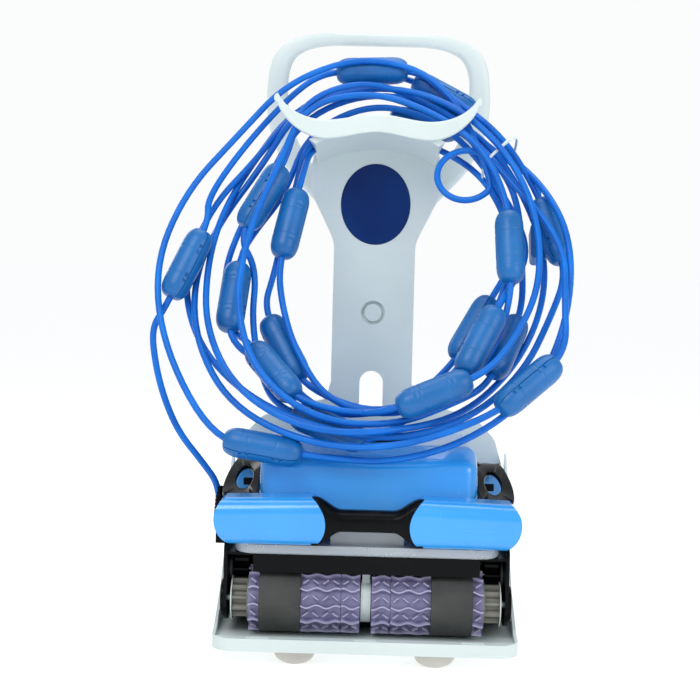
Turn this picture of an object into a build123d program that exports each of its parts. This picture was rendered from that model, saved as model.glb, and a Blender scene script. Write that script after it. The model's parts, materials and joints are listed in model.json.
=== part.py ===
from build123d import *
import math
import os

os.makedirs("parts", exist_ok=True)

# Robotic pool cleaner standing in its two-wheeled trolley, with its floating cable hung on the mast.
# Millimetres. +Z is up, the front faces -Y, and the origin is on the ground under the middle.

# trolley: overall sizes
trolley_depth = 560.0
front_y = -trolley_depth / 2
wheel_radius = 65.0
wheel_y = trolley_depth / 2 - wheel_radius
foot_height = 20.0
foot_x = 98.0
foot_inset = 30.0
foot_width = 57.0
foot_depth = 36.0
floor_sheet = 10.0
floor_z = foot_height + floor_sheet
tub_wall = 4.0
tub_half_front = 214.0
tub_half_back = 226.0
tub_corner_radius = 28.0
back_wall_y = 135.0
back_wall = 6.0
lip_height = 8.0
lip_width = 14.0
pad_x = 150.0
pad_length = 34.0
pad_width = 7.0
pad_height = 1.5
shoulder_z = 322.0
shoulder_half = 206.0

# mast
mast_half = 66.5
mast_foot_z = 60.0
wall_flange = 20.0
mast_depth = 52.0
mast_wall = 5.0
mast_back_y = back_wall_y + mast_depth
parting_z = 508.0
panel_half = 106.0
panel_wide_z = 700.0
mast_top_z = 765.0
slot_width = 38.5
slot_bottom_z = 315.0
slot_top_z = 381.0
badge_width = 114.0
badge_height = 132.0
badge_z = 654.0
badge_thickness = 4.0
badge_recess = 3.0
badge_clearance = 0.3

# lock button in the lower mast
button_z = 477.0
button_radius = 14.5
button_length = 12.0
button_travel = 5.0
button_inset = 2.0
button_clearance = 0.05
recess_radius = 19.5
recess_depth = 8.0
socket_radius = 24.5
socket_floor = 5.0

# cable cradle and handle hoop
cradle_half = 105.0
cradle_top_z = 772.0
cradle_drop = 24.0
cradle_wall = 7.0
cradle_root = 30.0
cradle_front_y = -2.0
lip_thickness = 10.0
cradle_tip_half = 159.0
cradle_tip_z = 817.0
hoop_thickness = 24.0
hoop_top_z = 938.0
hoop_half = 188.0
hoop_leg = 34.0
hoop_bar = 20.0

# trolley wheels
wheel_width = 40.0
wheel_gap = 4.0
bracket_half = 144.0
bracket_wall = 12.0
axle_radius = 6.0
running_clearance = 0.05
tyre_depth = 14.0
wheel_inner = bracket_half + wheel_gap
wheel_outer = wheel_inner + wheel_width

# cleaner: overall sizes
cleaner_half = 215.0
mid_y = -67.5
pontoon_front_y = -262.0
roller_spacing = 275.0
roller_z = 79.0
brush_radius = 47.5
deck_z = 150.0
deck_sheet = 4.0
tray_height = 14.0
tray_top_z = deck_z + tray_height
pontoon_height = 69.0
pontoon_depth = 57.0
pontoon_inner = 59.0
pontoon_top_z = tray_top_z + pontoon_height
cover_half = 157.5
cover_top_z = 297.0
cover_wall = 3.0
cover_half_length = 136.0
handle_front_inset = 7.0
handle_depth = 24.0

# rollers and gears
roller_y = {"front": mid_y - roller_spacing / 2, "rear": mid_y + roller_spacing / 2}
shaft_radius = 5.0
core_radius = 30.0
core_wall = 3.0
sleeve_gap = 0.2
sleeve_radius = 47.0
bearing_half = 7.0
bearing_radius = 30.5
brush_end = 92.0
sleeve_end = 151.0
strip_end = 166.0
flange_width = 2.5
flange_radius = 33.0
gear_end = 190.0
roller_end = 192.0
axial_gap = 0.5
fin_count = 12
fin_thickness = 3.0
brush_base_radius = 38.0
gear_module = 4.8
roller_teeth = 10
drive_teeth = 8
mesh_backlash = 0.25
pressure_angle = 25.0
tooth_addendum = 0.85
tooth_dedendum = 1.05
tooth_half_share = 0.237
flank_steps = 4
mesh_angle = 60.0
drive_shaft_radius = 4.0
pulley_radius = 14.0
belt_gap = 0.3
belt_thickness = 2.0
plate_inner = 197.0
plate_thickness = 5.0
plate_bottom_z = 48.0
plate_top_z = 164.0
plate_margin = 31.0
cap_thickness = 5.0
cap_radius = 26.0

mesh_distance = gear_module * (roller_teeth + drive_teeth) / 2 + mesh_backlash
mesh_back = mesh_distance * math.cos(math.radians(mesh_angle))
drive_z = roller_z + mesh_distance * math.sin(math.radians(mesh_angle))
drive_y = {"front": roller_y["front"] + mesh_back, "rear": roller_y["rear"] - mesh_back}

# chassis box under the deck
chassis_half = 150.0
chassis_half_length = 80.5
chassis_wall = 4.0
chassis_bottom_z = 42.0
door_sheet = 4.0
apron_y = 172.5
apron_bottom_z = 124.0
fender_half = 160.0

# cable
cable_radius = 5.0
gland_radius = 7.0
gland_x = -219.5
gland_y = -130.0
gland_top_z = 190.0
coil_lean_top_y = 75.0
coil_lean_bottom_y = -200.0
coil_top_ref_z = 823.0
coil_bottom_ref_z = 312.0
coil_thickness = 50.0


def save(piece, label):
    piece.part.label = label
    export_step(piece.part, f"parts/{label}.step")


def involute(angle):
    """Involute function of an angle in radians."""
    return math.tan(angle) - angle


def gear_profile(teeth, start_angle):
    """Outline points of a straight involute gear whose first tooth points to start_angle, in degrees."""
    pitch = gear_module * teeth / 2
    tip = pitch + gear_module * tooth_addendum
    root = pitch - gear_module * tooth_dedendum
    pressure = math.radians(pressure_angle)
    base = pitch * math.cos(pressure)
    step = 360 / teeth
    lowest = max(base, root)
    flank = []
    for part in range(flank_steps + 1):
        radius = lowest + (tip - lowest) * part / flank_steps
        lean = involute(math.acos(min(1, base / radius))) - involute(pressure)
        flank.append((radius, tooth_half_share * step - math.degrees(lean)))
    if root < lowest:
        flank.insert(0, (root, flank[0][1]))
    points = []
    for tooth in range(teeth):
        centre = start_angle + tooth * step
        outline = [(radius, centre - half) for radius, half in flank]
        outline += [(radius, centre + half) for radius, half in reversed(flank)]
        points += [(r * math.cos(math.radians(a)), r * math.sin(math.radians(a))) for r, a in outline]
    return points


# --- trolley tub with the back wall and the lower mast, one moulding -----------------------------

front_inner = tub_half_front - tub_wall
back_inner = tub_half_back - tub_wall
rim_z = floor_z + lip_height
side_back_z = 250.0
side_mid_z = 104.0
side_mid_y = -40.0

with BuildPart() as caddy_tub:
    # tray block with its walls, wider at the back
    with BuildSketch(Plane.XY.offset(foot_height)):
        with BuildLine():
            Polyline(
                (-tub_half_front, front_y), (tub_half_front, front_y),
                (tub_half_back, back_wall_y), (-tub_half_back, back_wall_y), close=True,
            )
        make_face()
    extrude(amount=side_back_z - foot_height)
    front_corners = caddy_tub.edges().filter_by(Axis.Z).group_by(Axis.Y)[0]
    fillet(front_corners, radius=tub_corner_radius)
    # everything above the sloping side walls is cut away
    with BuildSketch(Plane.YZ.offset(-tub_half_back - 1)):
        with BuildLine():
            Polyline(
                (front_y - 1, rim_z), (front_y + 60, rim_z + 2), (side_mid_y - 60, 72),
                (side_mid_y, side_mid_z), (40, 160), (85, 222), (back_wall_y + 1, side_back_z),
                (back_wall_y + 1, side_back_z + 20), (front_y - 1, side_back_z + 20), close=True,
            )
        make_face()
    extrude(amount=2 * tub_half_back + 2, mode=Mode.SUBTRACT)
    # the hollow that the cleaner stands in
    with BuildSketch(Plane.XY.offset(floor_z)):
        with BuildLine():
            Polyline(
                (-front_inner, front_y + lip_width), (front_inner, front_y + lip_width),
                (back_inner, back_wall_y), (-back_inner, back_wall_y), close=True,
            )
        make_face()
    extrude(amount=side_back_z, mode=Mode.SUBTRACT)
    # hollow underside
    with BuildSketch(Plane.XY.offset(foot_height)):
        with BuildLine():
            Polyline(
                (-front_inner + 3, front_y + 8), (front_inner - 3, front_y + 8),
                (back_inner - 3, back_wall_y - 4), (-back_inner + 3, back_wall_y - 4), close=True,
            )
        make_face()
    extrude(amount=floor_sheet / 2, mode=Mode.SUBTRACT)
    # stiffening ribs under the floor, and the blocks that take the feet
    with BuildSketch(Plane.XY.offset(foot_height)):
        with Locations((-foot_x, front_y + foot_inset), (foot_x, front_y + foot_inset)):
            Rectangle(foot_width + 7, foot_depth + 10)
        with GridLocations(120, 1, 3, 1):
            Rectangle(4, 330)
    extrude(amount=floor_sheet / 2)
    # back wall with rounded shoulders and the lower mast above it
    with BuildSketch(Plane.XZ.offset(-back_wall_y)) as back_sketch:
        with BuildLine():
            right_side = [
                (tub_half_back, foot_height), (tub_half_back, 205), (shoulder_half, 272),
                (178, shoulder_z - 20), (118, shoulder_z), (mast_half + 8, shoulder_z + 10),
                (mast_half, shoulder_z + 40), (mast_half, parting_z),
            ]
            left_side = [(-x, z) for x, z in reversed(right_side)]
            Polyline(*right_side, *left_side, close=True)
        make_face()
        corners = back_sketch.vertices().filter_by(lambda v: 200 < v.Y < shoulder_z + 5)
        fillet(corners, radius=24)
        bends = back_sketch.vertices().filter_by(lambda v: shoulder_z + 5 < v.Y < parting_z - 40)
        fillet(bends, radius=12)
    extrude(amount=-wall_flange)
    with BuildSketch(Plane.XZ.offset(-back_wall_y)):
        with Locations((0, (mast_foot_z + parting_z) / 2)):
            Rectangle(2 * mast_half, parting_z - mast_foot_z)
    extrude(amount=-mast_depth)
    # open at the back: one front skin and a flange round it
    with BuildSketch(Plane.XZ.offset(-back_wall_y - back_wall)) as inner_sketch:
        add(back_sketch.face())
        offset(amount=-mast_wall, mode=Mode.REPLACE)
    extrude(amount=-mast_depth, mode=Mode.SUBTRACT)
    # room for the wheels behind the wall
    with BuildSketch(Plane.XY.offset(foot_height - 1)):
        with Locations((0, back_wall_y + back_wall + 100)):
            Rectangle(2 * tub_half_back + 20, 200)
    extrude(amount=2 * wheel_radius, mode=Mode.SUBTRACT)
    # the mast's own sides run down the back of the wall
    with BuildSketch(Plane.XY.offset(mast_foot_z)):
        with Locations(*[(side * (mast_half - mast_wall / 2), back_wall_y + mast_depth / 2) for side in (-1, 1)]):
            Rectangle(mast_wall, mast_depth)
    extrude(amount=shoulder_z + 50 - mast_foot_z)
    # arched slot through the lower mast
    with BuildSketch(Plane.XZ.offset(-back_wall_y + 1)):
        with Locations((0, (slot_bottom_z + slot_top_z - slot_width / 2) / 2)):
            Rectangle(slot_width, slot_top_z - slot_width / 2 - slot_bottom_z)
        with Locations((0, slot_top_z - slot_width / 2)):
            Circle(slot_width / 2)
    extrude(amount=-mast_depth - 2, mode=Mode.SUBTRACT)
    # socket of the lock button
    socket_depth = button_inset + button_length + button_travel
    with BuildSketch(Plane.XZ.offset(-back_wall_y - back_wall)):
        with Locations((0, button_z)):
            Circle(socket_radius)
    extrude(amount=-(socket_depth + 2 + socket_floor - back_wall))
    with BuildSketch(Plane.XZ.offset(-back_wall_y)):
        with Locations((0, button_z)):
            Circle(recess_radius)
    extrude(amount=-recess_depth, mode=Mode.SUBTRACT)
    with BuildSketch(Plane.XZ.offset(-back_wall_y)):
        with Locations((0, button_z)):
            Circle(button_radius + button_clearance)
    extrude(amount=-socket_depth - 2, mode=Mode.SUBTRACT)
    # wheel brackets behind the wall
    for side in (-1, 1):
        inner_x = side * bracket_half if side < 0 else bracket_half - bracket_wall
        with BuildSketch(Plane.YZ.offset(inner_x)):
            with BuildLine():
                Polyline(
                    (back_wall_y + back_wall, 30), (wheel_y + 4, wheel_radius - 20),
                    (wheel_y + 20, wheel_radius), (wheel_y + 4, wheel_radius + 20),
                    (back_wall_y + back_wall, 170), close=True,
                )
            make_face()
        extrude(amount=bracket_wall)
    with BuildSketch(Plane.YZ.offset(-bracket_half - 1)):
        with Locations((wheel_y, wheel_radius)):
            Circle(axle_radius + running_clearance)
    extrude(amount=2 * bracket_half + 2, mode=Mode.SUBTRACT)
    # oval pads on the front lip
    with BuildSketch(Plane.XY.offset(rim_z)):
        with Locations(*[(x, front_y + lip_width / 2 + 1) for x in (-pad_x, 0, pad_x)]):
            SlotOverall(pad_length, pad_width)
    extrude(amount=pad_height)
save(caddy_tub, "caddy_tub")

# --- feet ---------------------------------------------------------------------------------------

with BuildPart() as front_feet:
    for x in (-foot_x, foot_x):
        with BuildSketch(Plane.XY.offset(foot_height)):
            with Locations((x, front_y + foot_inset)):
                RectangleRounded(foot_width, foot_depth, 12)
        extrude(amount=-foot_height)
    bottom_edges = front_feet.edges().group_by(Axis.Z)[0]
    fillet(bottom_edges, radius=10)
save(front_feet, "front_feet")

# --- upper mast ---------------------------------------------------------------------------------

with BuildPart() as upper_mast:
    with BuildSketch(Plane.XZ.offset(-back_wall_y)) as panel_sketch:
        with BuildLine():
            panel_side = [
                (mast_half, parting_z), (mast_half, panel_wide_z - 108), (panel_half, panel_wide_z - 28),
                (panel_half, panel_wide_z + 14), (panel_half - 9, mast_top_z),
            ]
            Polyline(*panel_side, *[(-x, z) for x, z in reversed(panel_side)], close=True)
        make_face()
        waist = panel_sketch.vertices().filter_by(lambda v: parting_z + 10 < v.Y < panel_wide_z - 50)
        fillet(waist, radius=56)
        widest = panel_sketch.vertices().filter_by(lambda v: panel_wide_z - 50 < v.Y < mast_top_z - 10)
        fillet(widest, radius=30)
    extrude(amount=-mast_depth)
    front_edges = upper_mast.faces().sort_by(Axis.Y)[0].edges().sort_by(Axis.Z)[1:]
    fillet(front_edges, radius=3)
    with BuildSketch(Plane.XZ.offset(-back_wall_y - back_wall)):
        add(panel_sketch.face())
        offset(amount=-mast_wall, mode=Mode.REPLACE)
    extrude(amount=-mast_depth, mode=Mode.SUBTRACT)
    with BuildSketch(Plane.XZ.offset(-back_wall_y)):
        with Locations((0, badge_z)):
            Ellipse(badge_width / 2, badge_height / 2)
    extrude(amount=-badge_recess, mode=Mode.SUBTRACT)
save(upper_mast, "upper_mast")

# --- badge --------------------------------------------------------------------------------------

with BuildPart() as badge_disc:
    with BuildSketch(Plane.XZ.offset(-back_wall_y - badge_recess)):
        with Locations((0, badge_z)):
            Ellipse(badge_width / 2 - badge_clearance, badge_height / 2 - badge_clearance)
    extrude(amount=badge_thickness)
    fillet(badge_disc.faces().sort_by(Axis.Y)[0].edges(), radius=1.5)
save(badge_disc, "badge_disc")

# --- lock button and its spring -----------------------------------------------------------------

button_front_y = back_wall_y + button_inset
spring_wire = 0.8
spring_radius = 9.0
spring_pocket = 11.5

with BuildPart() as lock_button:
    with BuildSketch(Plane.XZ.offset(-button_front_y)):
        with Locations((0, button_z)):
            Circle(button_radius)
    extrude(amount=-button_length)
    with BuildSketch(Plane.XZ.offset(-button_front_y - button_length)):
        with Locations((0, button_z)):
            Circle(spring_pocket)
    extrude(amount=button_length - 4, mode=Mode.SUBTRACT)
    fillet(lock_button.faces().sort_by(Axis.Y)[0].edges(), radius=1.2)
save(lock_button, "lock_button")

spring_start_y = button_front_y + 4 + spring_wire + 0.1
spring_end_y = back_wall_y + socket_depth + 2 - spring_wire - 0.1
spring_turns = 4.5

with BuildPart() as lock_spring:
    with BuildLine():
        coil_line = Helix(
            pitch=(spring_end_y - spring_start_y) / spring_turns,
            height=spring_end_y - spring_start_y, radius=spring_radius,
            center=(0, spring_start_y, button_z), direction=(0, 1, 0),
        )
    with BuildSketch(Plane(origin=coil_line @ 0, z_dir=coil_line % 0)):
        Circle(spring_wire)
    sweep(is_frenet=True)
save(lock_spring, "lock_spring")

# --- cable cradle -------------------------------------------------------------------------------

with BuildPart() as cable_cradle:
    # arched support, thin at the lip and thick where it joins the mast
    for y, depth in ((cradle_front_y, cradle_wall), (back_wall_y, cradle_root)):
        with BuildSketch(Plane.XZ.offset(-y)):
            with BuildLine():
                top_arc = ThreePointArc(
                    (-cradle_half, cradle_top_z - cradle_drop), (0, cradle_top_z),
                    (cradle_half, cradle_top_z - cradle_drop),
                )
                low_arc = ThreePointArc(
                    (cradle_half - 10, cradle_top_z - cradle_drop - depth), (0, cradle_top_z - depth),
                    (-cradle_half + 10, cradle_top_z - cradle_drop - depth),
                )
                Line(top_arc @ 1, low_arc @ 0)
                Line(low_arc @ 1, top_arc @ 0)
            make_face()
    loft()
    # moustache lip across the front
    with BuildSketch(Plane.XZ.offset(-cradle_front_y)):
        with BuildLine():
            lip_top = Spline(
                (-cradle_tip_half + 5, cradle_tip_z), (-131, 792), (-85, 778), (0, 788),
                (85, 778), (131, 792), (cradle_tip_half - 5, cradle_tip_z),
            )
            right_tip = ThreePointArc(
                lip_top @ 1, (cradle_tip_half, cradle_tip_z - 4), (cradle_tip_half - 4, cradle_tip_z - 15),
            )
            lip_low = Spline(
                right_tip @ 1, (142, 780), (93, 750), (0, 760), (-93, 750), (-142, 780),
                (-cradle_tip_half + 4, cradle_tip_z - 15),
            )
            ThreePointArc(
                lip_low @ 1, (-cradle_tip_half, cradle_tip_z - 4), lip_top @ 0,
            )
        make_face()
    extrude(amount=lip_thickness)
    fillet(cable_cradle.faces().sort_by(Axis.Y)[0].edges(), radius=3)
save(cable_cradle, "cable_cradle")

# --- handle hoop: flattened tube whose legs run down as a V behind the mast ----------------------

leg_foot_z = 612.0
leg_turn_z = 716.0
leg_foot_half = 62.0

outer_points = [
    (hoop_half - 27, leg_turn_z), (hoop_half + 2, 805), (hoop_half - 8, 908), (hoop_half - 74, hoop_top_z),
]
inner_points = [
    (hoop_half - 27 - hoop_leg, leg_turn_z + 19), (hoop_half - hoop_leg - 4, 808),
    (hoop_half - hoop_leg - 4, 896), (hoop_half - 80, hoop_top_z - hoop_bar),
]

with BuildPart() as handle_hoop:
    with BuildSketch(Plane.XZ.offset(-mast_back_y)) as hoop_outer:
        with BuildLine():
            Polyline(
                (leg_foot_half + 12, leg_foot_z), *outer_points, *[(-x, z) for x, z in reversed(outer_points)],
                (-leg_foot_half - 12, leg_foot_z), close=True,
            )
        make_face()
        fillet(hoop_outer.vertices().filter_by(lambda v: v.Y > leg_turn_z - 1), radius=36)
    extrude(amount=-hoop_thickness)
    with BuildSketch(Plane.XZ.offset(-mast_back_y)) as hoop_inner:
        with BuildLine():
            Polyline(
                (leg_foot_half - 20, leg_foot_z + 22), *inner_points,
                *[(-x, z) for x, z in reversed(inner_points)], (-leg_foot_half + 20, leg_foot_z + 22), close=True,
            )
        make_face()
        fillet(hoop_inner.vertices(), radius=20)
    extrude(amount=-hoop_thickness, mode=Mode.SUBTRACT)
    flat_faces = handle_hoop.faces().filter_by(Axis.Y)
    fillet(flat_faces.edges().filter_by(lambda e: e.center().Z > leg_foot_z + 30), radius=6)
    screw_spots = [(-leg_foot_half, leg_foot_z + 11), (0, leg_foot_z + 11), (leg_foot_half, leg_foot_z + 11)]
    with BuildSketch(Plane.XZ.offset(-mast_back_y)):
        with Locations(*screw_spots):
            Circle(3.2)
    extrude(amount=-hoop_thickness, mode=Mode.SUBTRACT)
save(handle_hoop, "handle_hoop")

with BuildPart() as mast_screws:
    for x, z in screw_spots:
        with BuildSketch(Plane.XZ.offset(-mast_back_y)):
            with Locations((x, z)):
                Circle(3.0)
        extrude(amount=-hoop_thickness)
        with BuildSketch(Plane.XZ.offset(-mast_back_y - hoop_thickness)):
            with Locations((x, z)):
                Circle(6.0)
        extrude(amount=-3)
save(mast_screws, "mast_screws")

# --- trolley wheels, axle and caps ---------------------------------------------------------------

cap_hub = 10.0

with BuildPart() as wheel_axle:
    with BuildSketch(Plane.YZ.offset(-wheel_outer - 6)):
        with Locations((wheel_y, wheel_radius)):
            Circle(axle_radius)
    extrude(amount=2 * wheel_outer + 12)
save(wheel_axle, "wheel_axle")

with BuildPart() as axle_caps:
    for side in (-1, 1):
        cap_plane = Plane(origin=(side * (wheel_outer + 1), wheel_y, wheel_radius), z_dir=(side, 0, 0))
        with BuildSketch(cap_plane):
            Circle(cap_hub)
            Circle(axle_radius + 0.02, mode=Mode.SUBTRACT)
        extrude(amount=5)
        with BuildSketch(cap_plane.offset(5)):
            Circle(cap_hub)
        extrude(amount=2)
save(axle_caps, "axle_caps")

for side_name, side in (("left", -1), ("right", 1)):
    wheel_plane = Plane(origin=(side * wheel_inner, wheel_y, wheel_radius), z_dir=(side, 0, 0))
    with BuildPart() as hub:
        with BuildSketch(wheel_plane):
            Circle(wheel_radius - tyre_depth)
        extrude(amount=wheel_width)
        for face_plane in (wheel_plane, wheel_plane.offset(wheel_width - 14)):
            with BuildSketch(face_plane):
                Circle(wheel_radius - tyre_depth - 6)
                Circle(16, mode=Mode.SUBTRACT)
            extrude(amount=14, mode=Mode.SUBTRACT)
        with BuildSketch(wheel_plane):
            with PolarLocations(30, 6):
                Circle(8)
            Circle(axle_radius + running_clearance)
        extrude(amount=wheel_width, mode=Mode.SUBTRACT)
    save(hub, f"{side_name}_wheel_hub")

    with BuildPart() as tyre:
        with BuildSketch(wheel_plane):
            Circle(wheel_radius)
            Circle(wheel_radius - tyre_depth + 0.02, mode=Mode.SUBTRACT)
        extrude(amount=wheel_width)
        fillet(tyre.edges().filter_by(GeomType.CIRCLE).sort_by(SortBy.RADIUS)[-2:], radius=6)
    save(tyre, f"{side_name}_tyre")

# --- cleaner: chassis, bottom door and inner housing ---------------------------------------------

chassis_front_y = mid_y - chassis_half_length
door_slot_x = 106.0
door_slot_width = 60.0
door_slot_depth = 14.0
screw_radius = 2.0
screw_x = 178.0
screw_ys = (mid_y - 130, mid_y - 45, mid_y + 45, mid_y + 130)
tower_radius = 28.0
tower_gap = 4.0

with BuildPart() as chassis:
    # open-ended box in the middle
    with BuildSketch(Plane.XY.offset(chassis_bottom_z)):
        with Locations((0, mid_y)):
            Rectangle(2 * chassis_half, 2 * chassis_half_length)
            Rectangle(
                2 * (chassis_half - chassis_wall), 2 * (chassis_half_length - chassis_wall),
                mode=Mode.SUBTRACT,
            )
    extrude(amount=deck_z - chassis_bottom_z)
    # deck over the rollers with a front and a rear apron
    with BuildSketch(Plane.XY.offset(deck_z - deck_sheet)):
        with Locations((0, mid_y)):
            Rectangle(2 * fender_half, 2 * apron_y)
            Rectangle(
                2 * (chassis_half - chassis_wall), 2 * (chassis_half_length - chassis_wall),
                mode=Mode.SUBTRACT,
            )
    extrude(amount=deck_sheet)
    for side in (-1, 1):
        with BuildSketch(Plane.XZ.offset(-(mid_y + side * (apron_y - chassis_wall / 2)) - chassis_wall / 2)):
            with Locations((0, (apron_bottom_z + deck_z) / 2)):
                Rectangle(2 * fender_half, deck_z - apron_bottom_z)
        extrude(amount=chassis_wall)
    with BuildSketch(Plane.XY.offset(deck_z - deck_sheet)):
        with Locations((0, mid_y - apron_y + 30), (0, mid_y + apron_y - 30)):
            with GridLocations(4 * 26, 1, 2, 1):
                Rectangle(4, 52)
    extrude(amount=-12)
save(chassis, "chassis")

with BuildPart() as bottom_door:
    with BuildSketch(Plane.XY.offset(chassis_bottom_z)):
        with Locations((0, mid_y)):
            RectangleRounded(2 * chassis_half, 2 * chassis_half_length, 8)
    extrude(amount=-door_sheet)
    with BuildSketch(Plane.XY.offset(chassis_bottom_z)):
        with Locations((-door_slot_x, mid_y), (door_slot_x, mid_y)):
            SlotOverall(door_slot_width, door_slot_depth)
    extrude(amount=-door_sheet, mode=Mode.SUBTRACT)
save(bottom_door, "bottom_door")

tray_half = 188.0
tray_half_length = 177.5
hump_half = 145.0
hump_half_length = 132.0
bulge_half = 52.0
bulge_height = 18.0
hump_height = 20.0
housing_wall = 3.0

with BuildPart() as clear_housing:
    with BuildSketch(Plane.XY.offset(deck_z)):
        with Locations((0, mid_y)):
            RectangleRounded(2 * tray_half, 2 * tray_half_length, 30)
    extrude(amount=tray_height)
    fillet(clear_housing.edges().group_by(Axis.Z)[0], radius=5)
    with BuildSketch(Plane.XY.offset(tray_top_z)):
        with Locations((0, mid_y)):
            RectangleRounded(2 * hump_half, 2 * hump_half_length, 24)
    extrude(amount=hump_height)
    fillet(clear_housing.edges().group_by(Axis.Z)[-1], radius=8)
    # low bulges that show under the two handles
    bulge_start = cover_half_length + 0.5
    bulge_end = mid_y - pontoon_front_y - handle_front_inset - handle_depth - 2
    with BuildSketch(Plane.XY.offset(tray_top_z)):
        for end in (-1, 1):
            with Locations((0, mid_y + end * (bulge_start + bulge_end) / 2)):
                Rectangle(2 * bulge_half, bulge_end - bulge_start)
    extrude(amount=bulge_height)
    with BuildSketch(Plane.XY.offset(deck_z)):
        with Locations((0, mid_y)):
            RectangleRounded(2 * (hump_half - 6), 2 * (hump_half_length - 6), 20)
    extrude(amount=tray_height + hump_height - housing_wall, mode=Mode.SUBTRACT)
    with BuildSketch(Plane.XY.offset(deck_z)):
        with Locations((0, mid_y)):
            Circle(tower_radius + tower_gap)
    extrude(amount=tray_height + hump_height, mode=Mode.SUBTRACT)
    with BuildSketch(Plane.XY.offset(deck_z)):
        with Locations(*[(side * screw_x, y) for side in (-1, 1) for y in screw_ys]):
            Circle(screw_radius + 0.2)
    extrude(amount=tray_height, mode=Mode.SUBTRACT)
save(clear_housing, "clear_housing")

# --- top cover and outlet grille -----------------------------------------------------------------

outlet_radius = 44.0
grille_half_x = 62.0
grille_half_y = 54.0
grille_recess = 5.0

with BuildPart() as top_cover:
    front = mid_y - cover_half_length
    back = mid_y + cover_half_length
    with BuildSketch(Plane.YZ.offset(-cover_half)) as cover_side:
        with BuildLine():
            Polyline(
                (front, tray_top_z), (front, tray_top_z + 22), (front + 16, cover_top_z - 20),
                (front + 60, cover_top_z), (back - 60, cover_top_z), (back - 16, cover_top_z - 20),
                (back, tray_top_z + 22), (back, tray_top_z), close=True,
            )
        make_face()
        fillet(cover_side.vertices().filter_by(lambda v: v.Y > tray_top_z + 30), radius=22)
    extrude(amount=2 * cover_half)
    end_edges = top_cover.faces().filter_by(Axis.X).edges()
    fillet(end_edges.filter_by(lambda e: e.center().Z > tray_top_z + 5), radius=20)
    offset(amount=-cover_wall, openings=top_cover.faces().sort_by(Axis.Z)[0])
    # outlet hole with a shallow seat for the grille
    with BuildSketch(Plane.XY.offset(cover_top_z)):
        with Locations((0, mid_y)):
            Circle(outlet_radius)
    extrude(amount=-2 * cover_wall, mode=Mode.SUBTRACT)
save(top_cover, "top_cover")

with BuildPart() as outlet_grille:
    with BuildSketch(Plane.XY.offset(cover_top_z)):
        with Locations((0, mid_y)):
            Ellipse(grille_half_x, grille_half_y)
            Circle(outlet_radius - 4, mode=Mode.SUBTRACT)
    extrude(amount=4)
    with BuildSketch(Plane.XY.offset(cover_top_z)):
        with Locations((0, mid_y)):
            Circle(outlet_radius - 0.5)
            Circle(outlet_radius - 4, mode=Mode.SUBTRACT)
    extrude(amount=-cover_wall)
    with BuildSketch(Plane.XY.offset(cover_top_z)):
        with Locations((0, mid_y)):
            Circle(10)
            for angle in range(0, 180, 30):
                Rectangle(2 * outlet_radius - 6, 3, rotation=angle)
    extrude(amount=3)
save(outlet_grille, "outlet_grille")

# --- pontoons, rails, handles and side frames ----------------------------------------------------

pontoon_mid_z = tray_top_z + pontoon_height / 2
handle_gap = 0.6
bar_half_height = 14.5
bar_mid_z = 200.5


def pontoon_end(x_shift):
    """Inner end of a pontoon, or the handle's flank beside it when shifted towards the middle."""
    x = pontoon_inner - x_shift
    return (
        (x + 20, pontoon_top_z), (x + 6, pontoon_top_z - 16), (x, pontoon_mid_z - 2),
        (x + 4, tray_top_z + 14), (x + 16, tray_top_z),
    )


for end_name, end in (("front", -1), ("rear", 1)):
    face_y = mid_y + end * (mid_y - pontoon_front_y)
    for side_name, side in (("left", -1), ("right", 1)):
        with BuildPart() as pontoon:
            with BuildSketch(Plane.XZ.offset(-face_y)) as pontoon_face:
                with BuildLine():
                    inner_end = Spline(*[(side * x, z) for x, z in pontoon_end(0)])
                    top_outer = (side * (cleaner_half - 14), pontoon_top_z - 4)
                    low_outer = (side * (cleaner_half - 22), tray_top_z)
                    top_line = Line(inner_end @ 0, top_outer)
                    outer_end = Spline(
                        top_outer, (side * (cleaner_half - 1), pontoon_mid_z + 12),
                        (side * cleaner_half, pontoon_mid_z), low_outer,
                    )
                    Line(outer_end @ 1, inner_end @ 1)
                make_face()
            extrude(amount=end * pontoon_depth)
            outer_corner = pontoon.edges().filter_by(
                lambda e: abs(e.center().Y - face_y) < 1 and e.length > 100
            )
            fillet(outer_corner, radius=22)
        save(pontoon, f"{end_name}_{side_name}_pontoon")

    with BuildPart() as handle:
        bar_y = face_y - end * handle_front_inset
        with BuildSketch(Plane.XZ.offset(-bar_y)):
            with BuildLine():
                right_flank = Spline(*pontoon_end(handle_gap))
                left_flank = Spline(*[(-x, z) for x, z in reversed(pontoon_end(handle_gap))])
                Polyline(
                    right_flank @ 1, (56, bar_mid_z - bar_half_height - 14), (36, bar_mid_z - bar_half_height),
                    (-36, bar_mid_z - bar_half_height), (-56, bar_mid_z - bar_half_height - 14), left_flank @ 0,
                )
                Polyline(
                    left_flank @ 1, (-70, pontoon_top_z - 1), (-40, bar_mid_z + bar_half_height),
                    (40, bar_mid_z + bar_half_height), (70, pontoon_top_z - 1), right_flank @ 0,
                )
            make_face()
        extrude(amount=end * handle_depth)
    save(handle, f"{end_name}_handle")

rail_width = 14.0
rail_inset = 4.0
rail_height = 22.0
rail_top_z = 228.0
rail_length = 2 * (mid_y - pontoon_front_y - pontoon_depth)

with BuildPart() as side_rails:
    for side in (-1, 1):
        with BuildSketch(Plane.XZ.offset(-mid_y + rail_length / 2)):
            with Locations((side * (cleaner_half - rail_inset - rail_width / 2), rail_top_z - rail_height / 2)):
                RectangleRounded(rail_width, rail_height, 5)
        extrude(amount=-rail_length)
save(side_rails, "side_rails")

frame_inner = 161.0
frame_wall = 6.0
frame_half_length = 134.0
frame_top_z = 224.0
frame_hole_radius = 15.0
post_z = 262.0
arm_offset = 88.0
arm_width = 12.0
arm_height = 10.0

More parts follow.
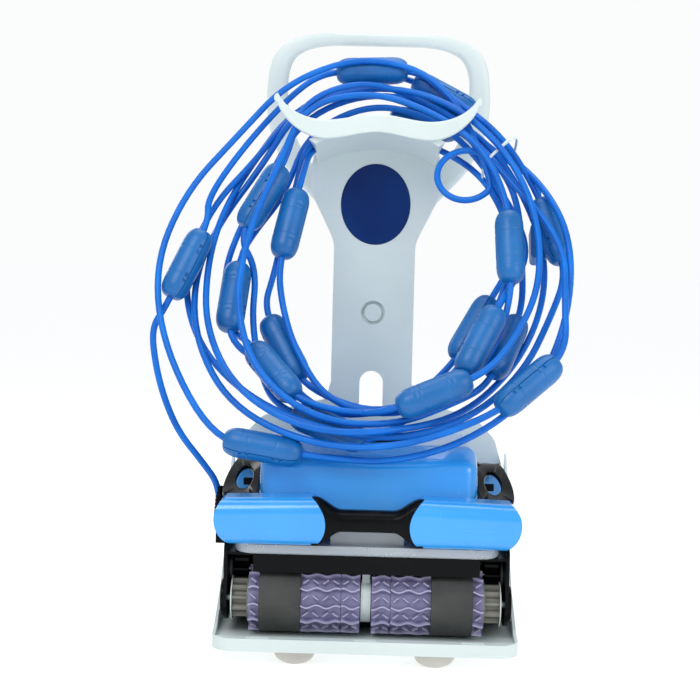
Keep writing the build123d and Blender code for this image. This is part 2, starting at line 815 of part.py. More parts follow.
for side_name, side in (("left", -1), ("right", 1)):
    with BuildPart() as side_frame:
        start_x = frame_inner if side > 0 else -frame_inner - frame_wall
        with BuildSketch(Plane.YZ.offset(start_x)):
            with Locations((mid_y, (tray_top_z + frame_top_z) / 2)):
                RectangleRounded(2 * frame_half_length, frame_top_z - tray_top_z, 10)
                with Locations((-frame_half_length + 28, 2), (0, 2), (frame_half_length - 28, 2)):
                    Circle(frame_hole_radius, mode=Mode.SUBTRACT)
            with Locations((mid_y, (frame_top_z + post_z) / 2 - 10)):
                RectangleRounded(26, post_z - frame_top_z + 20, 5)
        extrude(amount=frame_wall)
        # foot along the tray and two arms that reach the blue rail
        arm_start = frame_inner + frame_wall
        with BuildSketch(Plane.XY.offset(tray_top_z)):
            with Locations((side * (frame_inner + frame_wall / 2), mid_y)):
                Rectangle(frame_wall, 2 * frame_half_length - 10)
        extrude(amount=10)
        with BuildSketch(Plane.XY.offset(rail_top_z - rail_height)):
            arm_length = cleaner_half - rail_inset - rail_width - arm_start
            arm_x = side * (arm_start + arm_length / 2)
            with Locations((arm_x, mid_y - arm_offset), (arm_x, mid_y + arm_offset)):
                Rectangle(arm_length, arm_width)
        extrude(amount=arm_height)
    save(side_frame, f"{side_name}_side_frame")

    with BuildPart() as side_plate:
        start_x = plate_inner if side > 0 else -plate_inner - plate_thickness
        with BuildSketch(Plane.YZ.offset(start_x)) as plate_sketch:
            with Locations((mid_y, (plate_bottom_z + plate_top_z) / 2)):
                Rectangle(2 * (roller_spacing / 2 + plate_margin), plate_top_z - plate_bottom_z)
            fillet(plate_sketch.vertices().group_by(Axis.Y)[0], radius=30)
            fillet(plate_sketch.vertices().group_by(Axis.Y)[-1], radius=14)
        extrude(amount=plate_thickness)
        # deck that joins the plate to the chassis
        with BuildSketch(Plane.XY.offset(deck_z - deck_sheet)):
            deck_width = plate_inner - fender_half
            with Locations((side * (fender_half + deck_width / 2), mid_y)):
                Rectangle(deck_width, 2 * (roller_spacing / 2 + 26))
            with Locations(*[(side * screw_x, y) for y in screw_ys]):
                Circle(screw_radius + 0.2, mode=Mode.SUBTRACT)
        extrude(amount=deck_sheet)
        # bores for the roller axles and the gear shafts
        with BuildSketch(Plane.YZ.offset(start_x)):
            with Locations(*[(y, roller_z) for y in roller_y.values()]):
                Circle(shaft_radius + running_clearance)
            with Locations(*[(y, drive_z) for y in drive_y.values()]):
                Circle(drive_shaft_radius + running_clearance)
        extrude(amount=plate_thickness, mode=Mode.SUBTRACT)
    save(side_plate, f"{side_name}_side_plate")

with BuildPart() as roller_end_caps:
    for side in (-1, 1):
        for y in roller_y.values():
            cap_plane = Plane(origin=(side * (plate_inner + plate_thickness), y, roller_z), z_dir=(side, 0, 0))
            with BuildSketch(cap_plane):
                Circle(cap_radius)
            extrude(amount=cap_thickness)
    fillet(roller_end_caps.faces().filter_by(Axis.X).group_by(Axis.X)[0].edges(), radius=1.5)
    fillet(roller_end_caps.faces().filter_by(Axis.X).group_by(Axis.X)[-1].edges(), radius=1.5)
save(roller_end_caps, "roller_end_caps")

# --- axles, bearings, gear shafts and belts ------------------------------------------------------

with BuildPart() as roller_axles:
    for y in roller_y.values():
        with BuildSketch(Plane.YZ.offset(-plate_inner - plate_thickness)):
            with Locations((y, roller_z)):
                Circle(shaft_radius)
        extrude(amount=2 * (plate_inner + plate_thickness))
save(roller_axles, "roller_axles")

with BuildPart() as center_bearings:
    for y in roller_y.values():
        with BuildSketch(Plane.YZ.offset(-bearing_half)):
            with Locations((y, roller_z)):
                Circle(bearing_radius)
        extrude(amount=2 * bearing_half)
        with BuildSketch(Plane.XY.offset(roller_z)):
            with Locations((0, y)):
                Rectangle(2 * bearing_half - 3, 26)
        extrude(amount=deck_z - deck_sheet - roller_z)
        with BuildSketch(Plane.YZ.offset(-bearing_half)):
            with Locations((y, roller_z)):
                Circle(shaft_radius + 0.02)
        extrude(amount=2 * bearing_half, mode=Mode.SUBTRACT)
save(center_bearings, "center_bearings")

drive_start = strip_end + flange_width + 1
drive_end = gear_end - axial_gap
pulley_start = roller_end + axial_gap
pulley_end = plate_inner - axial_gap

with BuildPart() as gear_shafts:
    for side in (-1, 1):
        for y in drive_y.values():
            shaft_start = (drive_start - 2) if side > 0 else -(plate_inner + plate_thickness)
            with BuildSketch(Plane.YZ.offset(shaft_start)):
                with Locations((y, drive_z)):
                    Circle(drive_shaft_radius)
            extrude(amount=plate_inner + plate_thickness - drive_start + 2)
save(gear_shafts, "gear_shafts")

with BuildPart() as drive_belts:
    belt_length = drive_y["rear"] - drive_y["front"]
    for side in (-1, 1):
        belt_start = pulley_start + 0.3 if side > 0 else -pulley_end + 0.3
        with BuildSketch(Plane.YZ.offset(belt_start)):
            with Locations((mid_y, drive_z)):
                SlotCenterToCenter(belt_length, 2 * (pulley_radius + belt_gap + belt_thickness))
                SlotCenterToCenter(belt_length, 2 * (pulley_radius + belt_gap), mode=Mode.SUBTRACT)
        extrude(amount=pulley_end - pulley_start - 0.6)
save(drive_belts, "drive_belts")

# --- half rollers and their drive gears ----------------------------------------------------------

brush_start = bearing_half + 1
end_web = 6.0

for end_name, end in (("front", -1), ("rear", 1)):
    for side_name, side in (("left", -1), ("right", 1)):
        label = f"{end_name}_{side_name}"
        axle = Plane(
            origin=(0, roller_y[end_name], roller_z), x_dir=(0, -end, 0), z_dir=(side, 0, 0),
        )
        # direction from the roller's axle to the drive gear, measured in the axle's own plane
        drive_spot = axle.to_local_coords(Vector(0, drive_y[end_name], drive_z))
        towards_drive = math.degrees(math.atan2(drive_spot.Y, drive_spot.X))
        with BuildPart() as roller_core:
            with BuildSketch(axle.offset(brush_start)):
                Circle(core_radius)
            extrude(amount=strip_end - brush_start)
            with BuildSketch(axle.offset(brush_start + end_web)):
                Circle(core_radius - core_wall)
            extrude(amount=strip_end - brush_start - 2 * end_web, mode=Mode.SUBTRACT)
            with BuildSketch(axle.offset(strip_end)):
                Circle(flange_radius)
            extrude(amount=flange_width)
            with BuildSketch(axle.offset(strip_end + flange_width)):
                with BuildLine():
                    Polyline(*gear_profile(roller_teeth, towards_drive), close=True)
                make_face()
            extrude(amount=gear_end - strip_end - flange_width)
            with BuildSketch(axle.offset(gear_end)):
                Circle(flange_radius - 2)
            extrude(amount=roller_end - gear_end)
            with BuildSketch(axle.offset(brush_start)):
                Circle(shaft_radius + running_clearance)
            extrude(amount=roller_end - brush_start, mode=Mode.SUBTRACT)
        save(roller_core, f"{label}_roller_core")

        with BuildPart() as brush:
            for start, stop in ((brush_start, brush_end), (sleeve_end, strip_end)):
                with BuildSketch(axle.offset(start)):
                    Circle(brush_base_radius)
                    with PolarLocations((brush_base_radius + brush_radius) / 2 - 1, fin_count):
                        Rectangle(brush_radius - brush_base_radius + 1.6, fin_thickness)
                    Circle(core_radius + sleeve_gap, mode=Mode.SUBTRACT)
                extrude(amount=stop - start)
        save(brush, f"{label}_brush")

        with BuildPart() as grip_sleeve:
            with BuildSketch(axle.offset(brush_end + sleeve_gap)):
                Circle(sleeve_radius)
                Circle(core_radius + sleeve_gap, mode=Mode.SUBTRACT)
            extrude(amount=sleeve_end - brush_end - 2 * sleeve_gap)
        save(grip_sleeve, f"{label}_sleeve")

        drive_axle = Plane(
            origin=(0, drive_y[end_name], drive_z), x_dir=(0, -end, 0), z_dir=(side, 0, 0),
        )
        with BuildPart() as drive_gear:
            with BuildSketch(drive_axle.offset(drive_start)):
                with BuildLine():
                    gap_angle = towards_drive + 180 + 180 / drive_teeth
                    Polyline(*gear_profile(drive_teeth, gap_angle), close=True)
                make_face()
            extrude(amount=drive_end - drive_start)
            with BuildSketch(drive_axle.offset(drive_end)):
                Circle(9)
            extrude(amount=pulley_start - drive_end)
            with BuildSketch(drive_axle.offset(pulley_start)):
                Circle(pulley_radius)
            extrude(amount=pulley_end - pulley_start)
            with BuildSketch(drive_axle.offset(drive_start)):
                Circle(drive_shaft_radius + running_clearance)
            extrude(amount=pulley_end - drive_start, mode=Mode.SUBTRACT)
        save(drive_gear, f"{label}_drive_gear")

# --- motor unit, impeller and filters ------------------------------------------------------------

motor_half_x = 58.0
motor_half_y = 44.0
motor_bottom_z = 56.0
motor_arm_z = 90.0
motor_arm_width = 30.0
motor_arm_height = 12.0
tower_top_z = 254.0
pump_shaft_radius = 4.0
impeller_bottom_z = 262.0
impeller_height = 16.0
impeller_radius = 36.0
blade_count = 5

with BuildPart() as motor_unit:
    with BuildSketch(Plane.XY.offset(motor_bottom_z)):
        with Locations((0, mid_y)):
            RectangleRounded(2 * motor_half_x, 2 * motor_half_y, 10)
    extrude(amount=deck_z - motor_bottom_z)
    with BuildSketch(Plane.XY.offset(deck_z)):
        with Locations((0, mid_y)):
            Circle(tower_radius)
    extrude(amount=tower_top_z - deck_z)
    with BuildSketch(Plane.XY.offset(tower_top_z)):
        with Locations((0, mid_y)):
            Circle(pump_shaft_radius)
    extrude(amount=impeller_bottom_z + impeller_height + 2 - tower_top_z)
    # arms that hang the unit from the chassis box
    for y in (mid_y - chassis_half_length + chassis_wall, mid_y + motor_half_y):
        with BuildSketch(Plane.XY.offset(motor_arm_z)):
            with Locations((0, y + (chassis_half_length - chassis_wall - motor_half_y) / 2)):
                Rectangle(motor_arm_width, chassis_half_length - chassis_wall - motor_half_y)
        extrude(amount=motor_arm_height)
save(motor_unit, "motor_unit")

with BuildPart() as impeller:
    with BuildSketch(Plane.XY.offset(impeller_bottom_z)):
        with Locations((0, mid_y)):
            Circle(11)
    extrude(amount=impeller_height)
    with BuildSketch(Plane.XY.offset(impeller_bottom_z + 2)):
        with Locations((0, mid_y)):
            with PolarLocations(impeller_radius / 2 + 4, blade_count, start_angle=10):
                Rectangle(impeller_radius - 8, 2.4, rotation=14)
    extrude(amount=impeller_height - 4)
    with BuildSketch(Plane.XY.offset(impeller_bottom_z)):
        with Locations((0, mid_y)):
            Circle(pump_shaft_radius + running_clearance)
    extrude(amount=impeller_height, mode=Mode.SUBTRACT)
save(impeller, "impeller")

filter_inner_x = motor_half_x + 10
filter_outer_x = chassis_half - chassis_wall - 2
filter_half_y = chassis_half_length - chassis_wall - 2
filter_wall = 2.0
filter_height = 90.0

with BuildPart() as filter_baskets:
    for side in (-1, 1):
        middle = side * (filter_inner_x + filter_outer_x) / 2
        with BuildSketch(Plane.XY.offset(chassis_bottom_z)):
            with Locations((middle, mid_y)):
                Rectangle(filter_outer_x - filter_inner_x, 2 * filter_half_y)
                Rectangle(
                    filter_outer_x - filter_inner_x - 2 * filter_wall, 2 * (filter_half_y - filter_wall),
                    mode=Mode.SUBTRACT,
                )
        extrude(amount=filter_height)
        with BuildSketch(Plane.XY.offset(chassis_bottom_z + filter_height)):
            with Locations((middle, mid_y)):
                Rectangle(filter_outer_x - filter_inner_x, 2 * filter_half_y)
        extrude(amount=filter_wall)
save(filter_baskets, "filter_baskets")

with BuildPart() as body_screws:
    for side in (-1, 1):
        for y in screw_ys:
            with BuildSketch(Plane.XY.offset(deck_z - deck_sheet)):
                with Locations((side * screw_x, y)):
                    Circle(screw_radius)
            extrude(amount=deck_sheet + tray_height)
            with BuildSketch(Plane.XY.offset(tray_top_z)):
                with Locations((side * screw_x, y)):
                    Circle(2 * screw_radius)
            extrude(amount=2.4)
save(body_screws, "body_screws")

# --- cable gland, lead, coil and plug ------------------------------------------------------------

with BuildPart() as cable_gland:
    with BuildSketch(Plane.XY.offset(deck_z - 6)):
        with Locations(((gland_x - plate_inner - plate_thickness) / 2 - 2, gland_y)):
            Rectangle(-gland_x - plate_inner - plate_thickness + 4, 26)
    extrude(amount=18)
    with BuildSketch(Plane.XY.offset(deck_z + 12)):
        with Locations((gland_x, gland_y)):
            Circle(gland_radius)
    extrude(amount=gland_top_z - deck_z - 12)
save(cable_gland, "cable_gland")

lead_points = [
    (gland_x, gland_y, gland_top_z),
    (gland_x, gland_y, gland_top_z + 36),
    (-247, -128, 262),
    (-283, -120, 303),
    (-306, -113, 350),
    (-322, -104, 402),
    (-330, -94, 456),
    (-321, -90, 512),
]


def run_radii(points):
    """Largest arc at each corner that its two runs allow."""
    radii = []
    for before, here, after in zip(points, points[1:], points[2:]):
        into = Vector(*here) - Vector(*before)
        out = Vector(*after) - Vector(*here)
        turn = math.radians(into.get_angle(out))
        radii.append(0.45 * min(into.length, out.length) / math.tan(turn / 2))
    return radii


lead_radii = run_radii(lead_points)
print("cable lead radii, mm:", [round(r) for r in lead_radii])
lead_direction = Vector(*lead_points[1]) - Vector(*lead_points[0])

with BuildPart() as cable_lead:
    with BuildLine():
        lead_path = FilletPolyline(*lead_points, radius=lead_radii)
    with BuildSketch(Plane(origin=lead_points[0], z_dir=lead_direction)):
        Circle(cable_radius)
    sweep()
lead_length = lead_path.length
lead_section = math.pi * cable_radius**2
print(f"cable lead length {lead_length:.1f} mm, volume ratio {cable_lead.part.volume / lead_section / lead_length:.4f}")
save(cable_lead, "cable_lead")

# the coil hangs in a plane that leans back from the cover to the cradle
lean_y = coil_lean_top_y - coil_lean_bottom_y
lean_z = coil_top_ref_z - coil_bottom_ref_z
lean_length = math.hypot(lean_y, lean_z)
coil_plane = Plane(
    origin=(0, coil_lean_bottom_y, coil_bottom_ref_z), x_dir=(1, 0, 0), z_dir=(0, -lean_z, lean_y),
)


def on_coil(x, z):
    """Point of the coil's plane that is at height z."""
    return (x, (z - coil_bottom_ref_z) * lean_length / lean_z)


coil_outer = [
    (0, 874), (150, 850), (250, 772), (308, 660), (316, 545), (292, 430), (215, 342), (110, 286),
    (0, 266), (-110, 280), (-215, 330), (-300, 425), (-338, 545), (-334, 660), (-275, 775), (-150, 852),
]
coil_hole = [
    (0, 790), (112, 768), (168, 700), (188, 600), (182, 500), (130, 405), (40, 362), (-50, 366),
    (-115, 430), (-146, 540), (-166, 630), (-168, 700), (-112, 768),
]

with BuildPart() as cable_coil:
    with BuildSketch(coil_plane.offset(-coil_thickness / 2)):
        with BuildLine():
            Spline(*[on_coil(x, z) for x, z in coil_outer], periodic=True)
        make_face()
        with BuildLine():
            Spline(*[on_coil(x, z) for x, z in coil_hole], periodic=True)
        make_face(mode=Mode.SUBTRACT)
    extrude(amount=coil_thickness)
    fillet(cable_coil.edges(), radius=14)
save(cable_coil, "cable_coil")

plug_x = 252.0
plug_z = 612.0
plug_width = 26.0
plug_length = 58.0

with BuildPart() as cable_plug:
    with BuildSketch(coil_plane.offset(-coil_thickness / 2)):
        with Locations(on_coil(plug_x, plug_z)):
            RectangleRounded(plug_width, plug_length, 6)
    extrude(amount=-plug_width)
save(cable_plug, "cable_plug")
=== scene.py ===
import json
import math
import random

import bmesh
import bpy
import numpy as np
from mathutils import Matrix, Vector


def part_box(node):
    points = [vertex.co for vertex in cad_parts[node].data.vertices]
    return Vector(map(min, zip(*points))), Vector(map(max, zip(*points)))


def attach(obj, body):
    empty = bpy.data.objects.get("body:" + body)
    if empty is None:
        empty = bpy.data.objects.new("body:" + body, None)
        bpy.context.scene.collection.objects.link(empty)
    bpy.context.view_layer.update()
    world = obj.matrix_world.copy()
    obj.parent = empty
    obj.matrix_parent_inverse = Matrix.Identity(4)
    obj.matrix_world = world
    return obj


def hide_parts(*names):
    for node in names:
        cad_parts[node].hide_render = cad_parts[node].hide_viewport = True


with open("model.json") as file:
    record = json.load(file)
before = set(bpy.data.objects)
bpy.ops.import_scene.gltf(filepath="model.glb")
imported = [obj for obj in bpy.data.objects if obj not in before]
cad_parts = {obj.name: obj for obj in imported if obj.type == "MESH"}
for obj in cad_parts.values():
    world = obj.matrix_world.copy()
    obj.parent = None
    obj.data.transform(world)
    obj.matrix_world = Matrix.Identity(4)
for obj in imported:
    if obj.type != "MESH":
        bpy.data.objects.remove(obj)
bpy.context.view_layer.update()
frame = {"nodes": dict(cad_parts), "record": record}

print("frame loaded:", len(frame["nodes"]), "nodes")


# ---- camera, lights and floor

cameraLook = {"place": (0.0, -2.33, 0.587), "pitch": 4.0, "yaw": 0.84, "roll": 1.4, "lens": 77.25}
studio = {
    "sky": (0.93, 0.965, 1.0), "skyPower": 0.62,
    "key": {"place": (-0.9, -2.0, 2.3), "aim": (0, 0, 0.45), "size": 1.5, "power": 26},
    "fill": {"place": (1.6, -1.6, 1.2), "aim": (0, 0, 0.4), "size": 1.3, "power": 12},
    "top": {"place": (0.1, 0.4, 2.6), "aim": (0, 0, 0.4), "size": 1.8, "power": 18},
    "back": {"place": (-1.2, 1.9, 1.5), "aim": (0, 0, 0.5), "size": 1.4, "power": 12},
}


def aimCamera(look):
    pitch, yaw, roll = (math.radians(look[key]) for key in ("pitch", "yaw", "roll"))
    ahead = Vector((-math.sin(yaw) * math.cos(pitch), math.cos(yaw) * math.cos(pitch), -math.sin(pitch)))
    side = ahead.cross(Vector((0, 0, 1))).normalized()
    above = side.cross(ahead)
    right = side * math.cos(roll) + above * math.sin(roll)
    up = above * math.cos(roll) - side * math.sin(roll)
    data = bpy.data.cameras.new("camera")
    data.lens = look["lens"]
    data.sensor_width = 36
    data.clip_end = 40
    camera = bpy.data.objects.new("camera", data)
    turn = Matrix((right, up, -ahead)).transposed().to_4x4()
    camera.matrix_world = Matrix.Translation(look["place"]) @ turn
    bpy.context.scene.collection.objects.link(camera)
    bpy.context.scene.camera = camera


def softLight(title, look):
    data = bpy.data.lights.new(title, "AREA")
    data.shape = "DISK"
    data.size = look["size"]
    data.energy = look["power"]
    light = bpy.data.objects.new(title, data)
    light.location = look["place"]
    toward = Vector(look["aim"]) - Vector(look["place"])
    light.rotation_euler = toward.to_track_quat("-Z", "Y").to_euler()
    bpy.context.scene.collection.objects.link(light)


aimCamera(cameraLook)
for lightTitle in ("key", "fill", "top", "back"):
    softLight(lightTitle + "_light", studio[lightTitle])
world = bpy.data.worlds.new("studio")
world.use_nodes = True
bpy.context.scene.world = world
bpy.context.scene.view_settings.view_transform = "Standard"


# ---- shader and geometry trees

class Wire:
    # one socket of a tree; sums and products of wires add Math nodes
    def __init__(self, tree, socket):
        self.tree = tree
        self.socket = socket

    def maths(self, operation, first, second):
        return self.tree.node("ShaderNodeMath", {"operation": operation}, {0: first, 1: second})

    def __add__(self, other):
        return self.maths("ADD", self, other)

    def __radd__(self, other):
        return self.maths("ADD", other, self)

    def __sub__(self, other):
        return self.maths("SUBTRACT", self, other)

    def __rsub__(self, other):
        return self.maths("SUBTRACT", other, self)

    def __mul__(self, other):
        return self.maths("MULTIPLY", self, other)

    def __rmul__(self, other):
        return self.maths("MULTIPLY", other, self)

    def __truediv__(self, other):
        return self.maths("DIVIDE", self, other)

    def __rtruediv__(self, other):
        return self.maths("DIVIDE", other, self)


class Tree:
    # a node tree that is filled by one method
    def __init__(self, nodeTree):
        self.nodeTree = nodeTree

    def node(self, kind, settings=None, sockets=None, out=0):
        made = self.nodeTree.nodes.new(kind)
        for key, value in (settings or {}).items():
            setattr(made, key, value)
        for key, value in (sockets or {}).items():
            if isinstance(value, Wire):
                self.nodeTree.links.new(value.socket, made.inputs[key])
            else:
                made.inputs[key].default_value = value
        return Wire(self, made.outputs[out]) if made.outputs else made


class Finish(Tree):
    # one material, with the patterns that the finishes share
    def __init__(self, title):
        self.material = bpy.data.materials.new(title)
        self.material.use_nodes = True
        super().__init__(self.material.node_tree)
        self.nodeTree.nodes.clear()
        self.place = self.node("ShaderNodeTexCoord", out="Object")

    def stretched(self, sizes):
        return self.node("ShaderNodeMapping", None, {"Vector": self.place, "Scale": sizes})

    def noise(self, scale, detail=3.0, rough=0.5, place=None):
        sockets = {"Vector": place or self.place, "Scale": scale, "Detail": detail, "Roughness": rough}
        return self.node("ShaderNodeTexNoise", None, sockets)

    def window(self, value, low, high, start=0.0, end=1.0):
        sockets = {"Value": value, "From Min": low, "From Max": high, "To Min": start, "To Max": end}
        return self.node("ShaderNodeMapRange", {"clamp": True}, sockets)

    def blend(self, share, first, second, way="MIX"):
        first, second = (item if isinstance(item, Wire) else (*item, 1) for item in (first, second))
        settings = {"data_type": "RGBA", "blend_type": way}
        return self.node("ShaderNodeMix", settings, {0: share, 6: first, 7: second}, out=2)

    def bump(self, height, depth, strength=1.0, over=None):
        sockets = {"Height": height, "Distance": depth, "Strength": strength}
        if over is not None:
            sockets["Normal"] = over
        return self.node("ShaderNodeBump", None, sockets)

    def shade(self, **sockets):
        named = {key.replace("_", " "): value for key, value in sockets.items()}
        shader = self.node("ShaderNodeBsdfPrincipled", None, named)
        self.node("ShaderNodeOutputMaterial", None, {"Surface": shader})
        return self.material


def lightStudio():
    # an even pale backdrop, and a softer sky that lights the object
    sky = Tree(world.node_tree)
    world.node_tree.nodes.clear()
    seen = sky.node("ShaderNodeBackground", None, {"Color": (0.97, 0.975, 0.98, 1), "Strength": 1.0})
    light = {"Color": (*studio["sky"], 1), "Strength": studio["skyPower"]}
    lit = sky.node("ShaderNodeBackground", None, light)
    view = sky.node("ShaderNodeLightPath", out="Is Camera Ray")
    both = sky.node("ShaderNodeMixShader", None, {0: view, 1: lit, 2: seen})
    sky.node("ShaderNodeOutputWorld", None, {"Surface": both})


lightStudio()


def scuffs(finish, seedShift, amount):
    # long thin scratches in two directions, as a mask
    along = finish.noise(9.0, 2.0, 0.6, finish.stretched((1, 1 + seedShift, 22)))
    across = finish.noise(9.0, 2.0, 0.6, finish.stretched((20, 1, 2 + seedShift)))
    return finish.window(along, 0.69, 0.75) * amount + finish.window(across, 0.7, 0.76) * amount


def moulded(title, look):
    # a moulded plastic: mottled colour, fine skin, dust in patches and a few scratches
    finish = Finish(title)
    cloud = finish.window(finish.noise(look.get("cloud", 5.0), 4.0), 0.3, 0.7)
    patch = finish.window(finish.noise(look.get("patch", 13.0), 5.0, 0.6), 0.52, 0.78)
    scratch = scuffs(finish, look.get("shift", 0.3), look.get("scratch", 0.5))
    colour = finish.blend(cloud, look["deep"], look["light"])
    colour = finish.blend(patch * look.get("dust", 0.1), colour, look.get("dustColour", (0.62, 0.6, 0.55)))
    colour = finish.blend(scratch * look.get("mark", 0.12), colour, look.get("markColour", (0.9, 0.93, 0.95)))
    rough = look["rough"] + (cloud - 0.5) * 0.06 + patch * look.get("dust", 0.1) * 0.8 + scratch * 0.12
    skin = finish.noise(look.get("grain", 900.0), 2.0, 0.5)
    peel = finish.noise(look.get("peel", 60.0), 2.0, 0.4)
    normal = finish.bump(skin, look.get("skin", 0.00004), 0.6)
    normal = finish.bump(peel, look.get("wave", 0.00025), 0.35, normal)
    named = {"Base_Color": colour, "Roughness": rough, "Normal": normal}
    named.update(look.get("extra", {}))
    return finish.shade(**named)


finishes = {}
finishes["white_plastic"] = moulded("ivoryWhitePlastic", {
    "deep": (0.63, 0.715, 0.70), "light": (0.71, 0.79, 0.77), "rough": 0.42, "dust": 0.14, "scratch": 0.5,
    "mark": 0.3, "dustColour": (0.52, 0.56, 0.54), "grain": 700.0, "skin": 0.00005, "wave": 0.0004,
    "extra": {"Specular_IOR_Level": 0.45}})
finishes["azure_gloss"] = moulded("azureGlossShell", {
    "deep": (0.020, 0.30, 0.80), "light": (0.030, 0.37, 0.92), "rough": 0.24, "dust": 0.03, "scratch": 0.35,
    "mark": 0.1, "markColour": (0.3, 0.6, 0.95), "wave": 0.0003, "skin": 0.00001, "peel": 45.0,
    "extra": {"Coat_Weight": 0.7, "Coat_Roughness": 0.06}})
finishes["black_plastic"] = moulded("blackBodyPlastic", {
    "deep": (0.0012, 0.0015, 0.002), "light": (0.0030, 0.0036, 0.0045), "rough": 0.24, "dust": 0.008,
    "scratch": 0.4,
    "mark": 0.12, "markColour": (0.16, 0.17, 0.18), "dustColour": (0.16, 0.16, 0.15), "grain": 1300.0,
    "skin": 0.00006, "extra": {"Specular_IOR_Level": 0.10}})
finishes["grey_plastic"] = moulded("greyGearPlastic", {
    "deep": (0.16, 0.155, 0.13), "light": (0.25, 0.245, 0.21), "rough": 0.45, "dust": 0.2, "scratch": 0.6,
    "mark": 0.25, "markColour": (0.5, 0.5, 0.46), "dustColour": (0.42, 0.4, 0.34), "grain": 900.0,
    "skin": 0.00006})
finishes["foot_rubber"] = moulded("footRubber", {
    "deep": (0.50, 0.485, 0.44), "light": (0.62, 0.605, 0.56), "rough": 0.7, "dust": 0.3, "scratch": 0.2,
    "dustColour": (0.35, 0.33, 0.28), "grain": 1400.0, "skin": 0.00012})
finishes["float_plastic"] = moulded("floatShellPlastic", {
    "deep": (0.001, 0.105, 0.34), "light": (0.003, 0.15, 0.46), "rough": 0.38, "dust": 0.06, "scratch": 0.5,
    "mark": 0.25, "markColour": (0.12, 0.4, 0.85), "dustColour": (0.1, 0.3, 0.6), "cloud": 14.0,
    "grain": 1500.0,
    "skin": 0.00006, "wave": 0.0003})
finishes["cable_jacket"] = moulded("cableJacket", {
    "deep": (0.0, 0.115, 0.52), "light": (0.001, 0.175, 0.68), "rough": 0.36, "dust": 0.05, "scratch": 0.2,
    "mark": 0.2, "markColour": (0.1, 0.35, 0.9), "dustColour": (0.08, 0.2, 0.5), "cloud": 17.0,
    "grain": 1600.0,
    "skin": 0.00003, "wave": 0.0003, "extra": {"Specular_IOR_Level": 0.28}})
finishes["cable_bundle"] = finishes["cable_jacket"]
finishes["grey_tyre"] = moulded("greyTyre", {
    "deep": (0.06, 0.06, 0.065), "light": (0.10, 0.10, 0.105), "rough": 0.75, "dust": 0.35, "scratch": 0.3,
    "dustColour": (0.24, 0.23, 0.2), "grain": 1100.0, "skin": 0.0001})
finishes["charcoal_foam"] = moulded("charcoalFoam", {
    "deep": (0.030, 0.031, 0.030), "light": (0.058, 0.060, 0.056), "rough": 0.72, "dust": 0.3, "scratch": 0.6,
    "mark": 0.3, "markColour": (0.16, 0.17, 0.16), "dustColour": (0.11, 0.12, 0.11), "cloud": 22.0,
    "patch": 40.0,
    "grain": 1500.0, "skin": 0.00018})
finishes["milky_plastic"] = moulded("milkyClearPlastic", {
    "deep": (0.40, 0.46, 0.52), "light": (0.58, 0.64, 0.70), "rough": 0.24, "dust": 0.12, "scratch": 0.8,
    "mark": 0.3, "markColour": (0.85, 0.9, 0.95), "dustColour": (0.5, 0.5, 0.46), "wave": 0.0006,
    "extra": {"Transmission_Weight": 0.35, "IOR": 1.45, "Coat_Weight": 0.4, "Coat_Roughness": 0.12}})


def navyGloss():
    # deep lacquer under a clear coat, with a soft lighter cloud low down that is a painted reflection
    finish = Finish("navyGlossDisc")
    cloud = finish.noise(7.0, 2.0)
    # the lighter cloud is a painted reflection on the gloss
    colour = finish.blend(finish.window(cloud, 0.35, 0.7), (0.0, 0.014, 0.095), (0.0, 0.034, 0.18))
    rough = 0.12 + finish.window(finish.noise(240.0, 3.0), 0.4, 0.7) * 0.06
    swirl = finish.bump(finish.noise(24.0, 2.0), 0.0003, 0.3)
    return finish.shade(Base_Color=colour, Roughness=rough, Normal=swirl, Coat_Weight=0.15,
                        Coat_Roughness=0.03, Specular_IOR_Level=0.12)


def brightSteel():
    finish = Finish("brightSteel")
    grain = finish.noise(60.0, 3.0, 0.6, finish.stretched((1, 30, 30)))
    colour = finish.blend(grain, (0.5, 0.5, 0.51), (0.68, 0.68, 0.67))
    normal = finish.bump(grain, 0.00002, 0.5)
    return finish.shade(Base_Color=colour, Metallic=1.0, Roughness=0.24 + grain * 0.14, Normal=normal)


def lilacFin():
    # soft brush rubber, paler towards the tips of the fins: a painted highlight where the fin edges catch the
    # light
    finish = Finish("lilacFinRubber")
    tip = finish.node("ShaderNodeAttribute", {"attribute_name": "tip"}, out="Fac")
    cloud = finish.window(finish.noise(30.0, 4.0), 0.3, 0.7)
    colour = finish.blend(cloud, (0.17, 0.155, 0.29), (0.255, 0.24, 0.40))
    # painted highlight: the fins turn paler up towards their tips
    paintedTipHighlight = finish.window(tip, 0.35, 1.0)
    colour = finish.blend(paintedTipHighlight * 0.75, colour, (0.50, 0.485, 0.66))
    skin = finish.bump(finish.noise(1100.0, 2.0), 0.00005, 0.6)
    return finish.shade(Base_Color=colour, Roughness=0.46 + cloud * 0.1, Normal=skin)


finishes["navy_gloss"] = navyGloss()
finishes["bright_steel"] = brightSteel()
finishes["lilac_brush"] = lilacFin()

for piece in frame["record"]["subparts"]:
    node = frame["nodes"][piece["node"]]
    for place in node.material_slots:
        place.material = finishes[piece["material_slot"]]
print("finishes:", len(finishes))


# ---- the cable: lead, coil, floats and tie

coilLook = {
    "foot": (0.0, -0.200, 0.312), "slope": (0.0, 0.275, 0.511), "middle": (0.01, 0.29),
    "turns": 10, "perTurn": 16, "stations": 6, "wander": 0.9, "seed": 11,
    "startAngle": 184.6, "endAngle": 34.0, "cable": 0.010, "gap": 0.0006, "depthLimit": 0.040,
}
# inner and outer radius of the bundle, by direction in degrees
bundleBand = {
    -165: (0.142, 0.360), -133: (0.182, 0.360), -105: (0.236, 0.340), -75: (0.226, 0.328),
    -45: (0.190, 0.318),
    -15: (0.178, 0.298), 15: (0.188, 0.285), 44: (0.224, 0.286), 62: (0.230, 0.308), 90: (0.253, 0.352),
    118: (0.247, 0.334), 145: (0.156, 0.300), 170: (0.130, 0.330),
}
